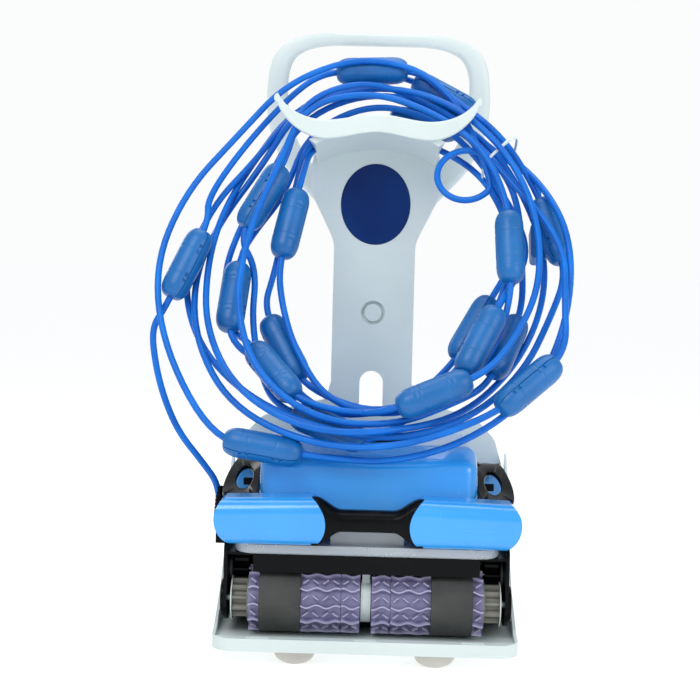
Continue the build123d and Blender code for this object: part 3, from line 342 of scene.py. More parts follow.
# outward rank of each turn where it starts
turnRanks = (8.5, 5.5, 2.5, 0, 3.5, 7, 9.5, 6, 3, 1, 4, 7)
leadPoints = [
    (-0.2195, -0.130, 0.190), (-0.2195, -0.130, 0.226), (-0.247, -0.128, 0.262), (-0.283, -0.120, 0.303),
    (-0.306, -0.113, 0.350), (-0.322, -0.104, 0.402), (-0.330, -0.094, 0.456),
]
floatLook = {
    "length": 0.114, "radius": 0.0215, "reach": 0.075, "neck": 0.0075, "dome": 0.026, "rows": 76, "round": 40,
}
# centre of each float on the coil's plane, and how it leans
floatSpots = [
    (-0.280, 0.267, 65), (-0.011, 0.623, 2), (0.105, 0.593, -30), (0.074, 0.548, -5), (-0.172, 0.387, 60),
    (-0.130, 0.350, 78), (-0.209, 0.225, 85), (-0.131, 0.155, -60), (-0.142, 0.095, -50),
    (-0.060, 0.016, -20),
    (-0.152, -0.018, -8), (0.269, 0.350, -72), (0.201, 0.297, -88), (0.152, 0.196, 60), (0.157, 0.147, 62),
    (0.198, 0.161, 66), (0.090, 0.056, 22), (0.224, 0.074, 40),
]
ringLook = {"turn": 6, "middle": (0.138, 0.430), "radius": 0.046, "from": -25, "sweep": 320, "points": 12}

slopeUp = Vector(coilLook["slope"]).normalized()
slopeOut = Vector((0, -slopeUp.z, slopeUp.y))
coilFoot = Vector(coilLook["foot"])


def onSlope(across, up, out):
    return coilFoot + Vector((across, 0, 0)) + slopeUp * up + slopeOut * out


def ease(share):
    share = min(max(share, 0.0), 1.0)
    return share * share * (3 - 2 * share)


def bandAt(angle):
    # the bundle's inner and outer radius in a direction
    corners = sorted(bundleBand)
    angle = (angle - corners[0]) % 360 + corners[0]
    ends = corners + [corners[0] + 360]
    for low, high in zip(ends, ends[1:]):
        if low <= angle <= high:
            share = ease((angle - low) / (high - low))
            first, second = bundleBand[low], bundleBand[(high + 180) % 360 - 180 if high > 180 else high]
            return [a + (b - a) * share for a, b in zip(first, second)]


class Winding:
    # where each turn of the coil lies across the bundle, as a share from its inside to its outside
    def __init__(self, look):
        self.look = look
        self.total = look["startAngle"] - look["endAngle"] + 360 * look["turns"]
        self.step = 360 / look["stations"]
        dice = random.Random(look["seed"])
        count = int(self.total / self.step) + 3
        raw = []
        for index in range(count):
            turn, part = divmod(index, look["stations"])
            share = part / look["stations"]
            rank = turnRanks[turn] * (1 - share) + turnRanks[turn + 1] * share
            raw.append(rank + dice.gauss(0, look["wander"]))
        self.shares = [0.0] * count
        for part in range(look["stations"]):
            mine = sorted(range(part, count, look["stations"]), key=lambda index: raw[index])
            for rank, index in enumerate(mine):
                self.shares[index] = (rank + 0.5) / len(mine)
        self.pulls = []

    def share(self, progress):
        index = min(int(progress / self.step), len(self.shares) - 2)
        part = ease(progress / self.step - index)
        value = self.shares[index] * (1 - part) + self.shares[index + 1] * part
        for spot, pull, width in self.pulls:
            reach = abs(progress - spot) / width
            if reach < 1:
                value += pull * (1 - reach * reach) ** 2
        return value

    def place(self, progress):
        angle = self.look["startAngle"] - progress
        inner, outer = bandAt(angle)
        radius = inner + (outer - inner) * min(max(self.share(progress), -0.06), 1.08)
        middle, turn = self.look["middle"], math.radians(angle)
        return (middle[0] + radius * math.cos(turn), middle[1] + radius * math.sin(turn))


def seatFloats(winding):
    # each float goes on the turn that already passes closest to it
    middle = coilLook["middle"]
    seats = []
    for across, up, lean in floatSpots:
        angle = math.degrees(math.atan2(up - middle[1], across - middle[0]))
        radius = math.hypot(up - middle[1], across - middle[0])
        inner, outer = bandAt(angle)
        wanted = (radius - inner) / (outer - inner)
        first = (coilLook["startAngle"] - angle) % 360
        if not seats:
            first = 0.0
        choices = []
        for turn in range(coilLook["turns"] + 1):
            progress = first + 360 * turn
            if progress > winding.total - 25 or (not seats and turn):
                continue
            crowd = sum(abs(progress - seat["progress"]) < 75 for seat in seats)
            ring = abs(progress - ringProgress(winding)) < 50
            choices.append((abs(winding.share(progress) - wanted) + 3 * crowd + 3 * ring, progress))
        progress = min(choices)[1]
        slant = math.atan2(math.sin(math.radians(lean)) / 0.912, math.cos(math.radians(lean)))
        way = Vector((math.cos(slant), math.sin(slant)))
        onward = Vector((math.sin(math.radians(angle)), -math.cos(math.radians(angle))))
        if way.dot(onward) < 0:
            way = -way
        winding.pulls.append((progress, wanted - winding.share(progress), 52.0))
        seats.append({"progress": progress, "at": Vector((across, up)), "way": way, "radius": radius})
    return seats


def ringProgress(winding):
    return (coilLook["startAngle"] - 50) % 360 + 360 * ringLook["turn"]


def coilRoute():
    # control points across, up and a first depth, with the place of each float's middle point
    winding = Winding(coilLook)
    seats = seatFloats(winding)
    dice = random.Random(coilLook["seed"] + 1)
    step = 360 / coilLook["perTurn"]
    rows = []
    blocked = [(seat["progress"], math.degrees(floatLook["reach"] / seat["radius"]) + 7) for seat in seats]
    blocked.append((ringProgress(winding) + 6, 17))
    progress = step
    while progress < winding.total:
        if all(abs(progress - spot) > reach for spot, reach in blocked):
            rows.append((progress, winding.place(progress), None))
        progress += step
    for number, seat in enumerate(seats):
        turn = math.degrees(floatLook["reach"] / seat["radius"])
        for part in (-1, 0, 1):
            spot = seat["at"] + seat["way"] * floatLook["reach"] * part
            rows.append((seat["progress"] + turn * part, tuple(spot), number if part == 0 else None))
    ring = ringLook
    for index in range(ring["points"]):
        angle = math.radians(ring["from"] - ring["sweep"] * index / (ring["points"] - 1))
        spot = (ring["middle"][0] + ring["radius"] * math.cos(angle),
                ring["middle"][1] + ring["radius"] * math.sin(angle))
        rows.append((ringProgress(winding) + 6 + (index - 5) * 0.5, spot, None))
    rows.sort(key=lambda row: row[0])
    flat = [row[1] for row in rows]
    middles = {row[2]: index for index, row in enumerate(rows) if row[2] is not None}
    wave = [dice.uniform(-1, 1) for _ in range(len(rows) // 5 + 3)]
    depth = []
    for index in range(len(rows)):
        low, part = divmod(index / 5, 1)
        depth.append(0.012 * (wave[int(low)] * (1 - ease(part)) + wave[int(low) + 1] * ease(part)))
    return np.array(flat), np.array(depth), middles


def splineWeights(count, parts):
    # rows that turn control values into values along a quadratic spline, in equal steps
    rows, owners = [], []
    for index in range(1, count - 1):
        for part in range(parts):
            u = (part + 0.5) / parts
            row = np.zeros(count)
            row[index - 1:index + 2] = ((1 - u) ** 2 / 2, (1 + 2 * u - 2 * u * u) / 2, u * u / 2)
            rows.append(row)
            owners.append(index)
    return np.array(rows), np.array(owners)


settleLook = {
    "parts": 6, "rounds": 420, "smoothUntil": 380, "firmAfter": 250, "overPush": 1.3,
    "nearCover": 0.035, "coverDepth": -0.002,
}


def settleDepth(flat, depth, middles, held):
    # strands and floats that cross or lie on each other are moved apart across the coil
    parts = settleLook["parts"]
    weights, owners = splineWeights(len(flat), parts)
    spots = weights @ flat
    inFloat = np.zeros(len(flat), bool)
    for index in middles.values():
        inFloat[index] = True
    thick = np.where(inFloat[owners], floatLook["radius"], coilLook["cable"] / 2)
    near = np.hypot(*(spots[:, None, :] - spots[None, :, :]).transpose(2, 0, 1))
    bothThick = thick[:, None] + thick[None, :] + coilLook["gap"]
    first, second = np.nonzero(np.triu(near < bothThick, parts * 3))
    across = near[first, second]
    need = np.sqrt(np.maximum(bothThick[first, second] ** 2 - across ** 2, 0))
    back = weights.T
    for turn in range(settleLook["rounds"]):
        level = weights @ depth
        apart = level[first] - level[second]
        way = np.where(apart >= 0, 1.0, -1.0)
        short = np.maximum(need - np.abs(apart), 0) * way * 0.5
        push, count = np.zeros(len(spots)), np.zeros(len(spots))
        for rows, sign in ((first, 1), (second, -1)):
            np.add.at(push, rows, sign * short)
            np.add.at(count, rows, np.abs(short) > 0)
        push = push / np.maximum(count, 1)
        touched = (count > 0).astype(float)
        share = back @ touched
        moved = (back @ (push * touched)) / np.maximum(share, 1e-6)
        depth = depth + np.where(share > 1e-6, moved, 0) * settleLook["overPush"]
        if turn < settleLook["smoothUntil"]:
            smooth = depth.copy()
            smooth[1:-1] = depth[1:-1] * 0.5 + (depth[:-2] + depth[2:]) * 0.25
            depth = depth + (smooth - depth) * (0.30 if turn < settleLook["firmAfter"] else 0.08)
        for index in middles.values():
            slope = (depth[index + 1] - depth[index - 1]) / 2
            mean = depth[index - 1:index + 2].mean()
            depth[index - 1:index + 2] = mean - slope, mean, mean + slope
        atCover = flat[:, 1] < settleLook["nearCover"]
        low = np.where(atCover, settleLook["coverDepth"], -coilLook["depthLimit"])
        depth = np.clip(depth, low, coilLook["depthLimit"])
        for index, value in held.items():
            depth[index] = value
    level = weights @ depth
    left = np.maximum(need - np.abs(level[first] - level[second]), 0)
    bad = (left > 0.002).sum()
    print("coil settled: worst overlap %.1f mm, %d of %d rows" % (left.max() * 1000, bad, len(left)))
    return depth


flatRoute, firstDepth, floatMiddles = coilRoute()
plugLow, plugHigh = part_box("cable_plug")
plugMiddle = (plugLow + plugHigh) / 2 - coilFoot
plugUp, plugOut = plugMiddle.dot(slopeUp), plugMiddle.dot(slopeOut)
tail = [(plugMiddle.x + 0.004, plugUp + 0.110), (plugMiddle.x, plugUp + 0.064),
        (plugMiddle.x, plugUp + 0.022)]
flatRoute = np.vstack([flatRoute, tail])
firstDepth = np.append(firstDepth, [plugOut * 0.7, plugOut, plugOut])
heldDepth = {0: 0.0, len(flatRoute) - 1: plugOut, len(flatRoute) - 2: plugOut}
coilDepth = settleDepth(flatRoute, firstDepth, floatMiddles, heldDepth)
cablePoints = [Vector(point) for point in leadPoints]
cablePoints += [onSlope(across, up, out) for (across, up), out in zip(flatRoute, coilDepth)]


def cableCurve(title, points, diameter):
    data = bpy.data.curves.new(title, "CURVE")
    data.dimensions = "3D"
    line = data.splines.new("NURBS")
    line.points.add(len(points) - 1)
    for point, place in zip(line.points, points):
        point.co = (*place, 1)
    line.order_u = 3
    line.use_endpoint_u = True
    line.resolution_u = 7
    data.bevel_depth = diameter / 2
    data.bevel_resolution = 4
    data.use_fill_caps = True
    curve = bpy.data.objects.new(title, data)
    bpy.context.scene.collection.objects.link(curve)
    return curve


cable = cableCurve("float_cable", cablePoints, coilLook["cable"])
cable.data.materials.append(finishes["cable_jacket"])
cableLength = sum((b - a).length for a, b in zip(cablePoints, cablePoints[1:]))
print("cable: %d points, polygon %.2f m" % (len(cablePoints), cableLength))


def newPiece(title, mesh, finish, body):
    piece = bpy.data.objects.new(title, mesh)
    bpy.context.scene.collection.objects.link(piece)
    mesh.materials.clear()
    mesh.materials.append(finish)
    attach(piece, body)
    return piece


def floatSurface(look):
    # one clamshell float along X: domed ends, seam with clip steps, pressed rings and dimples
    half, radius = look["length"] / 2, look["radius"]
    stops = []
    for index in range(look["rows"] + 1):
        stops.append(-half + look["length"] * index / look["rows"])
    rings = []
    seamTurns = [0.0, math.pi]
    angles = []
    for index in range(look["round"]):
        angles.append(2 * math.pi * index / look["round"] + math.pi / look["round"])
    for seam in seamTurns:
        angles += [seam - 0.045, seam - 0.02, seam + 0.02, seam + 0.045, seam + 0.26, seam + 0.29]
    angles = sorted(angle % (2 * math.pi) for angle in angles)
    for stop in stops:
        inset = max(abs(stop) - (half - look["dome"]), 0) / look["dome"]
        profile = look["neck"] + (radius - look["neck"]) * (1 - inset ** 2.3) ** (1 / 2.1)
        for line in (-0.021, 0.021, -0.0365, 0.0365):
            profile -= 0.0006 * max(0, 1 - abs(stop - line) / 0.0009)
        ring = []
        for angle in angles:
            deep = 0.0
            for seam in seamTurns:
                gap = abs((angle - seam + math.pi) % (2 * math.pi) - math.pi)
                if gap < 0.03:
                    deep = max(deep, 0.0016)
                swing = (angle - seam) % (2 * math.pi)
                if 0.03 < swing < 0.275:
                    for clip in (-0.024, 0.024):
                        if abs(stop - clip) < 0.0068:
                            deep = max(deep, 0.0026 if abs(stop - clip) > 0.0042 else 0.0006)
            for clip in (-0.029, 0.029):
                offTop = (angle - math.pi / 2 + math.pi) % (2 * math.pi) - math.pi
                spot = math.hypot(stop - clip, radius * offTop)
                if spot < 0.0028:
                    deep = max(deep, 0.0008)
            ring.append((stop, (profile - deep) * math.cos(angle), (profile - deep) * math.sin(angle)))
        rings.append(ring)
    return rings


def skinRings(rings, capped=True):
    # closed tube mesh over rings of equal count
    mesh = bpy.data.meshes.new("skin")
    count = len(rings[0])
    corners = [corner for ring in rings for corner in ring]
    faces = []
    for row in range(len(rings) - 1):
        for index in range(count):
            after = (index + 1) % count
            here, above = row * count, (row + 1) * count
            faces.append((here + index, here + after, above + after, above + index))
    if capped:
        faces.append(tuple(range(count))[::-1])
        faces.append(tuple((len(rings) - 1) * count + index for index in range(count)))
    mesh.from_pydata(corners, [], faces)
    made = bmesh.new()
    made.from_mesh(mesh)
    bmesh.ops.recalc_face_normals(made, faces=made.faces)
    made.to_mesh(mesh)
    made.free()
    mesh.shade_smooth()
    mesh.set_sharp_from_angle(angle=math.radians(44))
    return mesh


floatRings = floatSurface(floatLook)
floatDice = random.Random(5)
firstFloat = len(leadPoints)
for number, index in sorted(floatMiddles.items()):
    before, at, after = (cablePoints[firstFloat + index + shift] for shift in (-1, 0, 1))
    middle = before * 0.125 + at * 0.75 + after * 0.125
    along = (after - before).normalized()
    side = along.cross(slopeOut).normalized()
    upward = side.cross(along)
    roll = Matrix.Rotation(floatDice.uniform(0, 2 * math.pi), 3, "X")
    turn = Matrix((along, side, upward)).transposed() @ roll
    rings = [[middle + turn @ Vector(corner) for corner in ring] for ring in floatRings]
    mesh = skinRings(rings)
    piece = newPiece("float_%02d" % (number + 1), mesh, finishes["float_plastic"], "cleaner")


# ---- tie round the bundle and strain relief on the lead

tieLook = {"angle": 45.0, "inner": 0.219, "outer": 0.292, "half": 0.034, "wide": 0.0042, "thick": 0.0016}


def stripRings(path, outward, along, wide, thick):
    # a flat strip along a closed path, as rings of four corners
    rings = []
    for spot, out in zip(path, outward):
        rings.append([spot + out * across + along * side for across, side in (
            (0, -wide / 2), (thick, -wide / 2), (thick, wide / 2), (0, wide / 2))])
    return rings + [rings[0]]


def makeTie(look):
    middle = coilLook["middle"]
    angle = math.radians(look["angle"])
    radial = Vector((math.cos(angle), 0, 0)) + slopeUp * math.sin(angle)
    along = radial.cross(slopeOut).normalized()
    centre = onSlope(middle[0], middle[1], 0) + radial * (look["inner"] + look["outer"]) / 2
    halfWide = (look["outer"] - look["inner"]) / 2
    path, outward = [], []
    for index in range(56):
        turn = 2 * math.pi * index / 56
        c, s = math.cos(turn), math.sin(turn)
        grow = (abs(c) ** 3 + abs(s) ** 3) ** (-1 / 3)
        path.append(centre + radial * halfWide * c * grow + slopeOut * look["half"] * s * grow)
        outward.append((radial * c / halfWide + slopeOut * s / look["half"]).normalized())
    rings = stripRings(path, outward, along, look["wide"], look["thick"])
    mesh = skinRings(rings, capped=False)
    tie = newPiece("cable_tie", mesh, finishes["white_plastic"], "cleaner")
    head = centre + slopeOut * (look["half"] + 0.002) - radial * 0.004
    rings = []
    for shift, grow in ((-0.0034, 0.7), (-0.0030, 1), (0.0030, 1), (0.0034, 0.7)):
        rings.append([head + radial * shift + along * side * 0.0036 * grow + slopeOut * rise * 0.0026 * grow
                      for side, rise in ((-1, -1), (1, -1), (1, 1), (-1, 1))])
    tip = head + radial * 0.022 + slopeOut * 0.004
    for spot, size in ((head + radial * 0.0036, 0.0020), (tip, 0.0016), (tip + radial * 0.0006, 0.0008)):
        rings.append([spot + along * side * size + slopeOut * rise * 0.0005
                      for side, rise in ((-1, -1), (1, -1), (1, 1), (-1, 1))])
    newPiece("cable_tie_head", skinRings(rings), finishes["white_plastic"], "cleaner")
    return tie


def roundRings(stations, start, axis, count=28):
    # rings of a turned piece: pairs of distance along the axis and radius
    side = axis.orthogonal().normalized()
    other = axis.cross(side)
    rings = []
    for distance, radius in stations:
        centre = start + axis * distance
        turns = [2 * math.pi * index / count for index in range(count)]
        rings.append([centre + (side * math.cos(turn) + other * math.sin(turn)) * radius for turn in turns])
    return rings


cableTie = makeTie(tieLook)
reliefLook = {"length": 0.040, "root": 0.0085, "end": 0.0056, "rings": 7, "groove": 0.0012, "sink": 0.004}
reliefStations = [(0.0, reliefLook["root"])]
for index in range(reliefLook["rings"]):
    low = reliefLook["length"] * (index + 0.15) / reliefLook["rings"]
    high = reliefLook["length"] * (index + 0.85) / reliefLook["rings"]
    size = reliefLook["root"] + (reliefLook["end"] - reliefLook["root"]) * index / reliefLook["rings"]
    trough = size - reliefLook["groove"]
    reliefStations += [(low, size), (high, size - 0.0002), (high + 0.0003, trough), (low + 0.0056, trough)]
reliefStations.append((reliefLook["length"], reliefLook["end"]))
reliefStart = Vector(leadPoints[0]) - Vector((0, 0, reliefLook["sink"]))
reliefMesh = skinRings(roundRings(reliefStations, reliefStart, Vector((0, 0, 1))))
relief = newPiece("strain_relief", reliefMesh, finishes["black_plastic"], "cleaner")
print("tie and strain relief done")


# ---- roller brushes: fins and blades by a rule

brushLook = {
    "base": 0.0392, "height": 0.0083, "fins": 12, "thick": 0.0016, "wave": 0.0022, "lean": 38.0,
    "sections": [  # start and end along the axle, blades, waves
        (0.0083, 0.0347, 2, 1.0), (0.0353, 0.0918, 4, 2.0), (0.1512, 0.1658, 1, 0.5)],
}


class Shape(Tree):
    # a Geometry Nodes tree with named inputs, run once and turned into a plain mesh
    def __init__(self, title, inputs):
        self.group = bpy.data.node_groups.new(title, "GeometryNodeTree")
        super().__init__(self.group)
        self.inputs = {}
        for name, kind in inputs.items():
            socket = self.group.interface.new_socket(
                name=name, in_out="INPUT", socket_type="NodeSocket" + kind)
            self.inputs[name] = socket.identifier
        self.group.interface.new_socket(name="Geometry", in_out="OUTPUT", socket_type="NodeSocketGeometry")
        source = self.nodeTree.nodes.new("NodeGroupInput")
        self.given = {name: Wire(self, source.outputs[name]) for name in inputs}

    def finishTree(self, geometry):
        whole = self.node("GeometryNodeRealizeInstances", None, {0: geometry})
        sockets = {"Geometry": whole, "Material": self.given["Material"]}
        painted = self.node("GeometryNodeSetMaterial", None, sockets)
        end = self.nodeTree.nodes.new("NodeGroupOutput")
        self.nodeTree.links.new(painted.socket, end.inputs[0])

    def run(self, title, values):
        holder = bpy.data.objects.new(title + "_maker", bpy.data.meshes.new(title + "_maker"))
        bpy.context.scene.collection.objects.link(holder)
        modifier = holder.modifiers.new("rule", "NODES")
        modifier.node_group = self.group
        for name, value in values.items():
            modifier[self.inputs[name]] = value
        graph = bpy.context.evaluated_depsgraph_get()
        mesh = bpy.data.meshes.new_from_object(holder.evaluated_get(graph), depsgraph=graph)
        mesh.name = title
        bpy.data.objects.remove(holder)
        return mesh


def brushShape():
    # wavy fins round a sleeve, with short leaning blades between them
    tree = Shape("brushRule", {
        "Length": "Float", "Radius": "Float", "Height": "Float", "Fins": "Int", "Thickness": "Float",
        "Wave": "Float", "Waves": "Float", "Phase": "Float", "Blades": "Int", "Lean": "Float",
        "Material": "Material"})
    node, given = tree.node, tree.given
    length, height, radius = given["Length"], given["Height"], given["Radius"]

    def vector(x=0.0, y=0.0, z=0.0):
        return node("ShaderNodeCombineXYZ", None, {"X": x, "Y": y, "Z": z})

    def tipped(geometry, high):
        # how far up the fin each point is, for the painted highlight on the tips
        rise = node("ShaderNodeSeparateXYZ", None, {0: node("GeometryNodeInputPosition")}, out="Z")
        named = {"Geometry": geometry, "Name": "tip", "Value": rise / high + 0.5}
        return node("GeometryNodeStoreNamedAttribute", {"data_type": "FLOAT", "domain": "POINT"}, named)

    sockets = {"Size": vector(length, given["Thickness"], height), "Vertices X": 26, "Vertices Y": 2,
               "Vertices Z": 4}
    fin = tipped(node("GeometryNodeMeshCube", None, sockets), height)
    place = node("ShaderNodeSeparateXYZ", None, {0: node("GeometryNodeInputPosition")}, out="X")
    turn = place / length * given["Waves"] * 6.2832 + given["Phase"]
    swing = node("ShaderNodeMath", {"operation": "SINE"}, {0: turn}) * given["Wave"]
    offset = vector(length * 0.5, swing, radius + height * 0.5)
    fin = node("GeometryNodeSetPosition", None, {"Geometry": fin, "Offset": offset})
    bladeSize = vector(0.0095, given["Thickness"] * 0.8, height * 0.86)
    sockets = {"Size": bladeSize, "Vertices X": 2, "Vertices Y": 2, "Vertices Z": 3}
    blade = tipped(node("GeometryNodeMeshCube", None, sockets), height * 0.86)
    step = length / given["Blades"]
    row = node("GeometryNodeMeshLine", None, {"Count": given["Blades"], "Start Location": vector(step * 0.5),
                                              "Offset": vector(step)})
    index = node("GeometryNodeInputIndex")
    odd = node("ShaderNodeMath", {"operation": "MODULO"}, {0: index, 1: 2.0})
    spin = vector(0.0, 0.0, (1 - odd * 2.0) * given["Lean"])
    blades = node("GeometryNodeInstanceOnPoints", None, {"Points": row, "Instance": blade, "Rotation": spin})
    blades = node("GeometryNodeRealizeInstances", None, {0: blades})
    offset = vector(0, 0, radius + height * 0.42)
    blades = node("GeometryNodeTransform", None, {"Geometry": blades, "Translation": offset})
    pitch = 6.2832 / given["Fins"]
    blades = node("GeometryNodeTransform", None, {"Geometry": blades, "Rotation": vector(pitch * 0.5)})
    joined = tree.nodeTree.nodes.new("GeometryNodeJoinGeometry")
    for part in (fin, blades):
        tree.nodeTree.links.new(part.socket, joined.inputs[0])
    spokes = node("GeometryNodeMeshLine", None, {"Count": given["Fins"], "Offset": vector()})
    around = vector(pitch * node("GeometryNodeInputIndex"))
    sockets = {"Points": spokes, "Instance": Wire(tree, joined.outputs[0]), "Rotation": around}
    rows = node("GeometryNodeInstanceOnPoints", None, sockets)
    sleeve = node("GeometryNodeMeshCylinder", None, {"Vertices": 72, "Radius": radius, "Depth": length})
    sleeve = node("GeometryNodeTransform", None, {"Geometry": sleeve, "Rotation": (0, math.pi / 2, 0),
                                                  "Translation": vector(length * 0.5)})
    whole = tree.nodeTree.nodes.new("GeometryNodeJoinGeometry")
    for part in (sleeve, rows):
        tree.nodeTree.links.new(part.socket, whole.inputs[0])
    tree.finishTree(Wire(tree, whole.outputs[0]))
    return tree


def makeBrushes(look):
    tree = brushShape()
    for end in ("front", "rear"):
        for side, way in (("left", -1), ("right", 1)):
            node = end + "_" + side + "_brush"
            low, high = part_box(node)
            axle = (low + high) / 2
            for number, (start, stop, blades, waves) in enumerate(look["sections"]):
                title = node + "_fins_" + str(number + 1)
                mesh = tree.run(title, {
                    "Length": stop - start, "Radius": look["base"], "Height": look["height"],
                    "Fins": look["fins"], "Thickness": look["thick"], "Wave": look["wave"], "Waves": waves,
                    "Phase": 1.3 * number + way, "Blades": blades, "Lean": math.radians(look["lean"]),
                    "Material": finishes["lilac_brush"]})
                mesh.transform(Matrix.Translation((start, axle.y, axle.z)))
                if way < 0:
                    mesh.transform(Matrix.Diagonal((-1, 1, 1, 1)))
                    mesh.flip_normals()
                piece = bpy.data.objects.new(title, mesh)
                bpy.context.scene.collection.objects.link(piece)
                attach(piece, end + "_" + side + "_roller")
                if number == 0:
                    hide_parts(node)


makeBrushes(brushLook)
print("brushes done")


# ---- grips, shoulders, feet and wheel rims

gripLook = {
    "half": 0.0784, "waist": 0.036, "flare": 0.038, "top": (0.2155, 0.2330), "bottom": (0.1850, 0.1645),
    "front": 0.0, "back": 0.024, "bevel": (0.010, 0.0075), "edge": 0.0025, "stations": 64,
}
shoulderLook = {
    "inner": 0.1595, "outer": 0.2105, "from": 0.1385, "thick": 0.006, "low": 0.2285, "high": 0.2605,
    "hole": (0.182, 0.078, 0.0125, 0.036), "count": 96,
}
footLook = {"x": 0.098, "half": 0.0285, "deep": 0.018, "y": -0.250, "high": 0.0199, "count": 28}


def makeGrip(title, node, look, frontY, way):
    # hourglass grip with a bevelled top edge; way is -1 where the grip faces the front
    rings = []
    for index in range(look["stations"] + 1):
        across = -look["half"] + 2 * look["half"] * index / look["stations"]
        flare = ease((abs(across) - look["waist"]) / look["flare"])
        top = look["top"][0] + (look["top"][1] - look["top"][0]) * flare
        bottom = look["bottom"][0] + (look["bottom"][1] - look["bottom"][0]) * flare
        back, edge, (bevelIn, bevelDown) = look["back"], look["edge"], look["bevel"]
        outline = [
            (edge * 0.3, top - bevelDown - edge), (edge, top - bevelDown), (bevelIn, top - edge * 0.3),
            (bevelIn + edge, top), (back - edge, top), (back - edge * 0.3, top - edge * 0.3),
            (back, top - edge),
            (back, bottom + edge), (back - edge * 0.3, bottom + edge * 0.3), (back - edge, bottom),
            (bevelIn, bottom), (edge, bottom + edge * 0.8), (edge * 0.3, bottom + edge * 1.6),
            (0, bottom + edge * 3), (0, top - bevelDown - edge * 2.4)]
        rings.append([Vector((across, frontY - way * deep, high)) for deep, high in outline])
    grip = newPiece(title, skinRings(rings), finishes["black_plastic"], "cleaner")
    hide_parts(node)


def makeShoulder(title, side, way, look):
    # raised black frame beside the cover, with an oval opening; rises from the pontoon to the middle
    midY, middleX = -0.0675, (look["inner"] + look["outer"]) / 2
    holeX, holeIn, holeHalf, holeLong = look["hole"]
    loops = []
    for grow, drop, hole in ((1.0, 0.0015, False), (0.97, 0.0, False), (1.10, 0.0, True), (1.0, 0.0015, True),
                             (1.0, look["thick"], True), (1.0, look["thick"], False)):
        loop = []
        for index in range(look["count"]):
            turn = 2 * math.pi * index / look["count"]
            c, s = math.cos(turn), math.sin(turn)
            if hole:
                x, y = holeX + holeHalf * grow * c, holeIn + holeLong * grow * s
            else:
                square = (abs(c) ** 7 + abs(s) ** 7) ** (-1 / 7)
                x = middleX + (look["outer"] - look["inner"]) / 2 * grow * c * square
                y = look["from"] / 2 + look["from"] / 2 * (0.5 + grow / 2) * s * square
            # the outer corner towards the middle is drawn in
            x -= max(x - 0.170, 0) * 0.28 * ease(1 - y / (look["from"] * 0.75))
            rise = look["low"] + (look["high"] - look["low"]) * ease(1.08 - y / look["from"])
            loop.append(Vector((side * x, midY + way * y, rise - drop)))
        loops.append(loop)
    rings = loops + [loops[0]]
    mesh = skinRings(rings, capped=False)
    return newPiece(title, mesh, finishes["black_plastic"], "cleaner")


def makeFoot(title, side, look):
    rings = []
    for shift, grow in ((-1, 0.86), (-0.9, 0.96), (-0.74, 1.0), (0.74, 1.0), (0.9, 0.96), (1, 0.86)):
        ring = []
        for index in range(look["count"] + 1):
            turn = math.pi * index / look["count"]
            low = look["high"] * (1 - math.sin(turn) ** 0.85 * grow)
            across = side * look["x"] + look["half"] * grow * math.cos(turn)
            ring.append(Vector((across, look["y"] + look["deep"] * shift, low)))
        rings.append(ring)
    return newPiece(title, skinRings(rings), finishes["foot_rubber"], "caddy")


makeGrip("front_grip", "front_handle", gripLook, -0.255, -1)
makeGrip("rear_grip", "rear_handle", gripLook, 0.120, 1)
for sideName, side in (("left", -1), ("right", 1)):
    for endName, way in (("front", -1), ("rear", 1)):
        makeShoulder(endName + "_" + sideName + "_shoulder", side, way, shoulderLook)
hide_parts("side_rails")
leftFoot = makeFoot("left_foot", -1, footLook)
makeFoot("right_foot", 1, footLook)
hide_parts("front_feet")
rimLook = {"from": 0.1902, "to": 0.1918, "radius": 0.0315}
for end in ("front", "rear"):
    for sideName, side in (("left", -1), ("right", 1)):
        low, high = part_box(end + "_" + sideName + "_roller_core")
        axle = (low + high) / 2
        start = Vector((side * rimLook["from"], axle.y, axle.z))
        wide, radius = rimLook["to"] - rimLook["from"], rimLook["radius"]
        stations = [(0, radius - 0.0004), (0.0003, radius), (wide - 0.0003, radius), (wide, radius - 0.0004)]
        mesh = skinRings(roundRings(stations, start, Vector((side, 0, 0)), 72))
        corner = end + "_" + sideName
        newPiece(corner + "_rim", mesh, finishes["white_plastic"], corner + "_roller")
print("grips, shoulders, feet and rims done")


# ---- handle hoop

hoopLook = {
    "outer": ((0.057, 0.612), (0.161, 0.722), (0.1885, 0.800), (0.181, 0.909), (0.116, 0.9375)),
    "inner": ((0.025, 0.634), (0.127, 0.741), (0.1515, 0.806), (0.1500, 0.893), (0.103, 0.9175)),
    "cut": (0.024, 0.040, 0.040, 0.050, 0.042), "front": 0.1872, "back": 0.2108, "steps": 10,
    "around": 20, "squareness": 4,
}


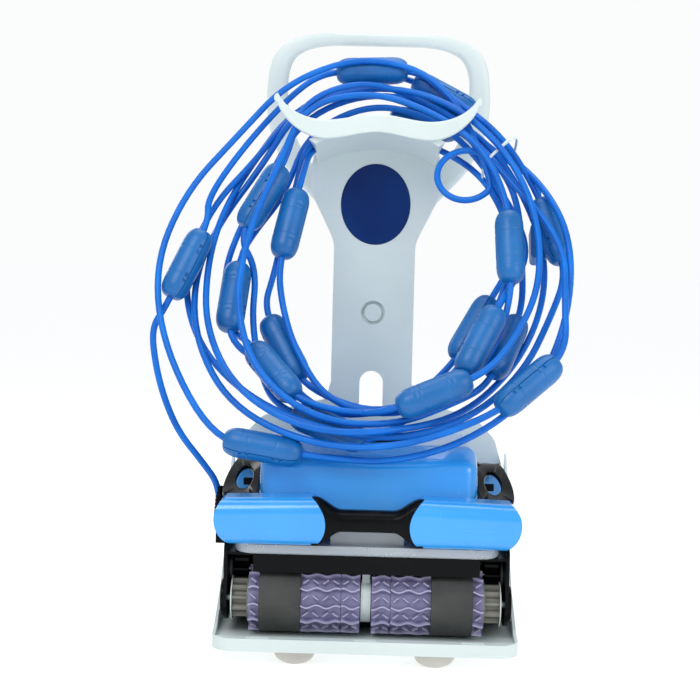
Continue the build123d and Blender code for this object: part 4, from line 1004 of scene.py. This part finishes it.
def roundOutline(half, cuts, steps):
    # closed outline, mirrored in X, with each corner replaced by an arc of points
    corners = list(half) + [(-x, z) for x, z in reversed(half)]
    reach = list(cuts) + list(reversed(cuts))
    outline = []
    for index, (corner, cut) in enumerate(zip(corners, reach)):
        here = Vector(corner)
        before, after = Vector(corners[index - 1]) - here, Vector(corners[(index + 1) % len(corners)]) - here
        start = here + before * min(cut / before.length, 0.46)
        end = here + after * min(cut / after.length, 0.46)
        for step in range(steps + 1):
            share = step / steps
            outline.append(start.lerp(here, share).lerp(here.lerp(end, share), share))
    return outline


def makeHoop(look):
    outer = roundOutline(look["outer"], look["cut"], look["steps"])
    inner = roundOutline(look["inner"], look["cut"], look["steps"])
    middle, half = (look["front"] + look["back"]) / 2, (look["back"] - look["front"]) / 2
    power = look["squareness"]
    rings = []
    for index in range(look["around"]):
        # one line round the hoop for each direction of its rounded section
        turn = 2 * math.pi * (index + 0.5) / look["around"]
        c, s = math.cos(turn), math.sin(turn)
        square = (abs(c) ** power + abs(s) ** power) ** (-1 / power)
        ring = []
        for far, near in zip(outer, inner):
            spot = far.lerp(near, 0.5 - 0.5 * c * square)
            ring.append(Vector((spot.x, middle + half * s * square, spot.y)))
        rings.append(ring)
    mesh = skinRings(rings + [rings[0]], capped=False)
    hoop = newPiece("hoop_tube", mesh, finishes["white_plastic"], "caddy")
    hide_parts("handle_hoop")


makeHoop(hoopLook)
print("hoop done")

# ---- floor, and the cable in place of the lead and coil parts

floorMesh = bpy.data.meshes.new("floor")
floorMesh.from_pydata([(-30, -30, 0), (30, -30, 0), (30, 30, 0), (-30, 30, 0)], [], [(0, 1, 2, 3)])
floor = bpy.data.objects.new("floor", floorMesh)
bpy.context.scene.collection.objects.link(floor)


def paleFloor():
    finish = Finish("paleFloor")
    cloud = finish.noise(1.5, 3.0)
    colour = finish.blend(cloud, (0.60, 0.605, 0.61), (0.64, 0.645, 0.65))
    return finish.shade(Base_Color=colour, Roughness=0.8, Emission_Color=(1, 1, 1, 1), Emission_Strength=0.58)


floorMesh.materials.append(paleFloor())

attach(cable, "cleaner")
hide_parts("cable_lead", "cable_coil")

bpy.context.view_layer.update()
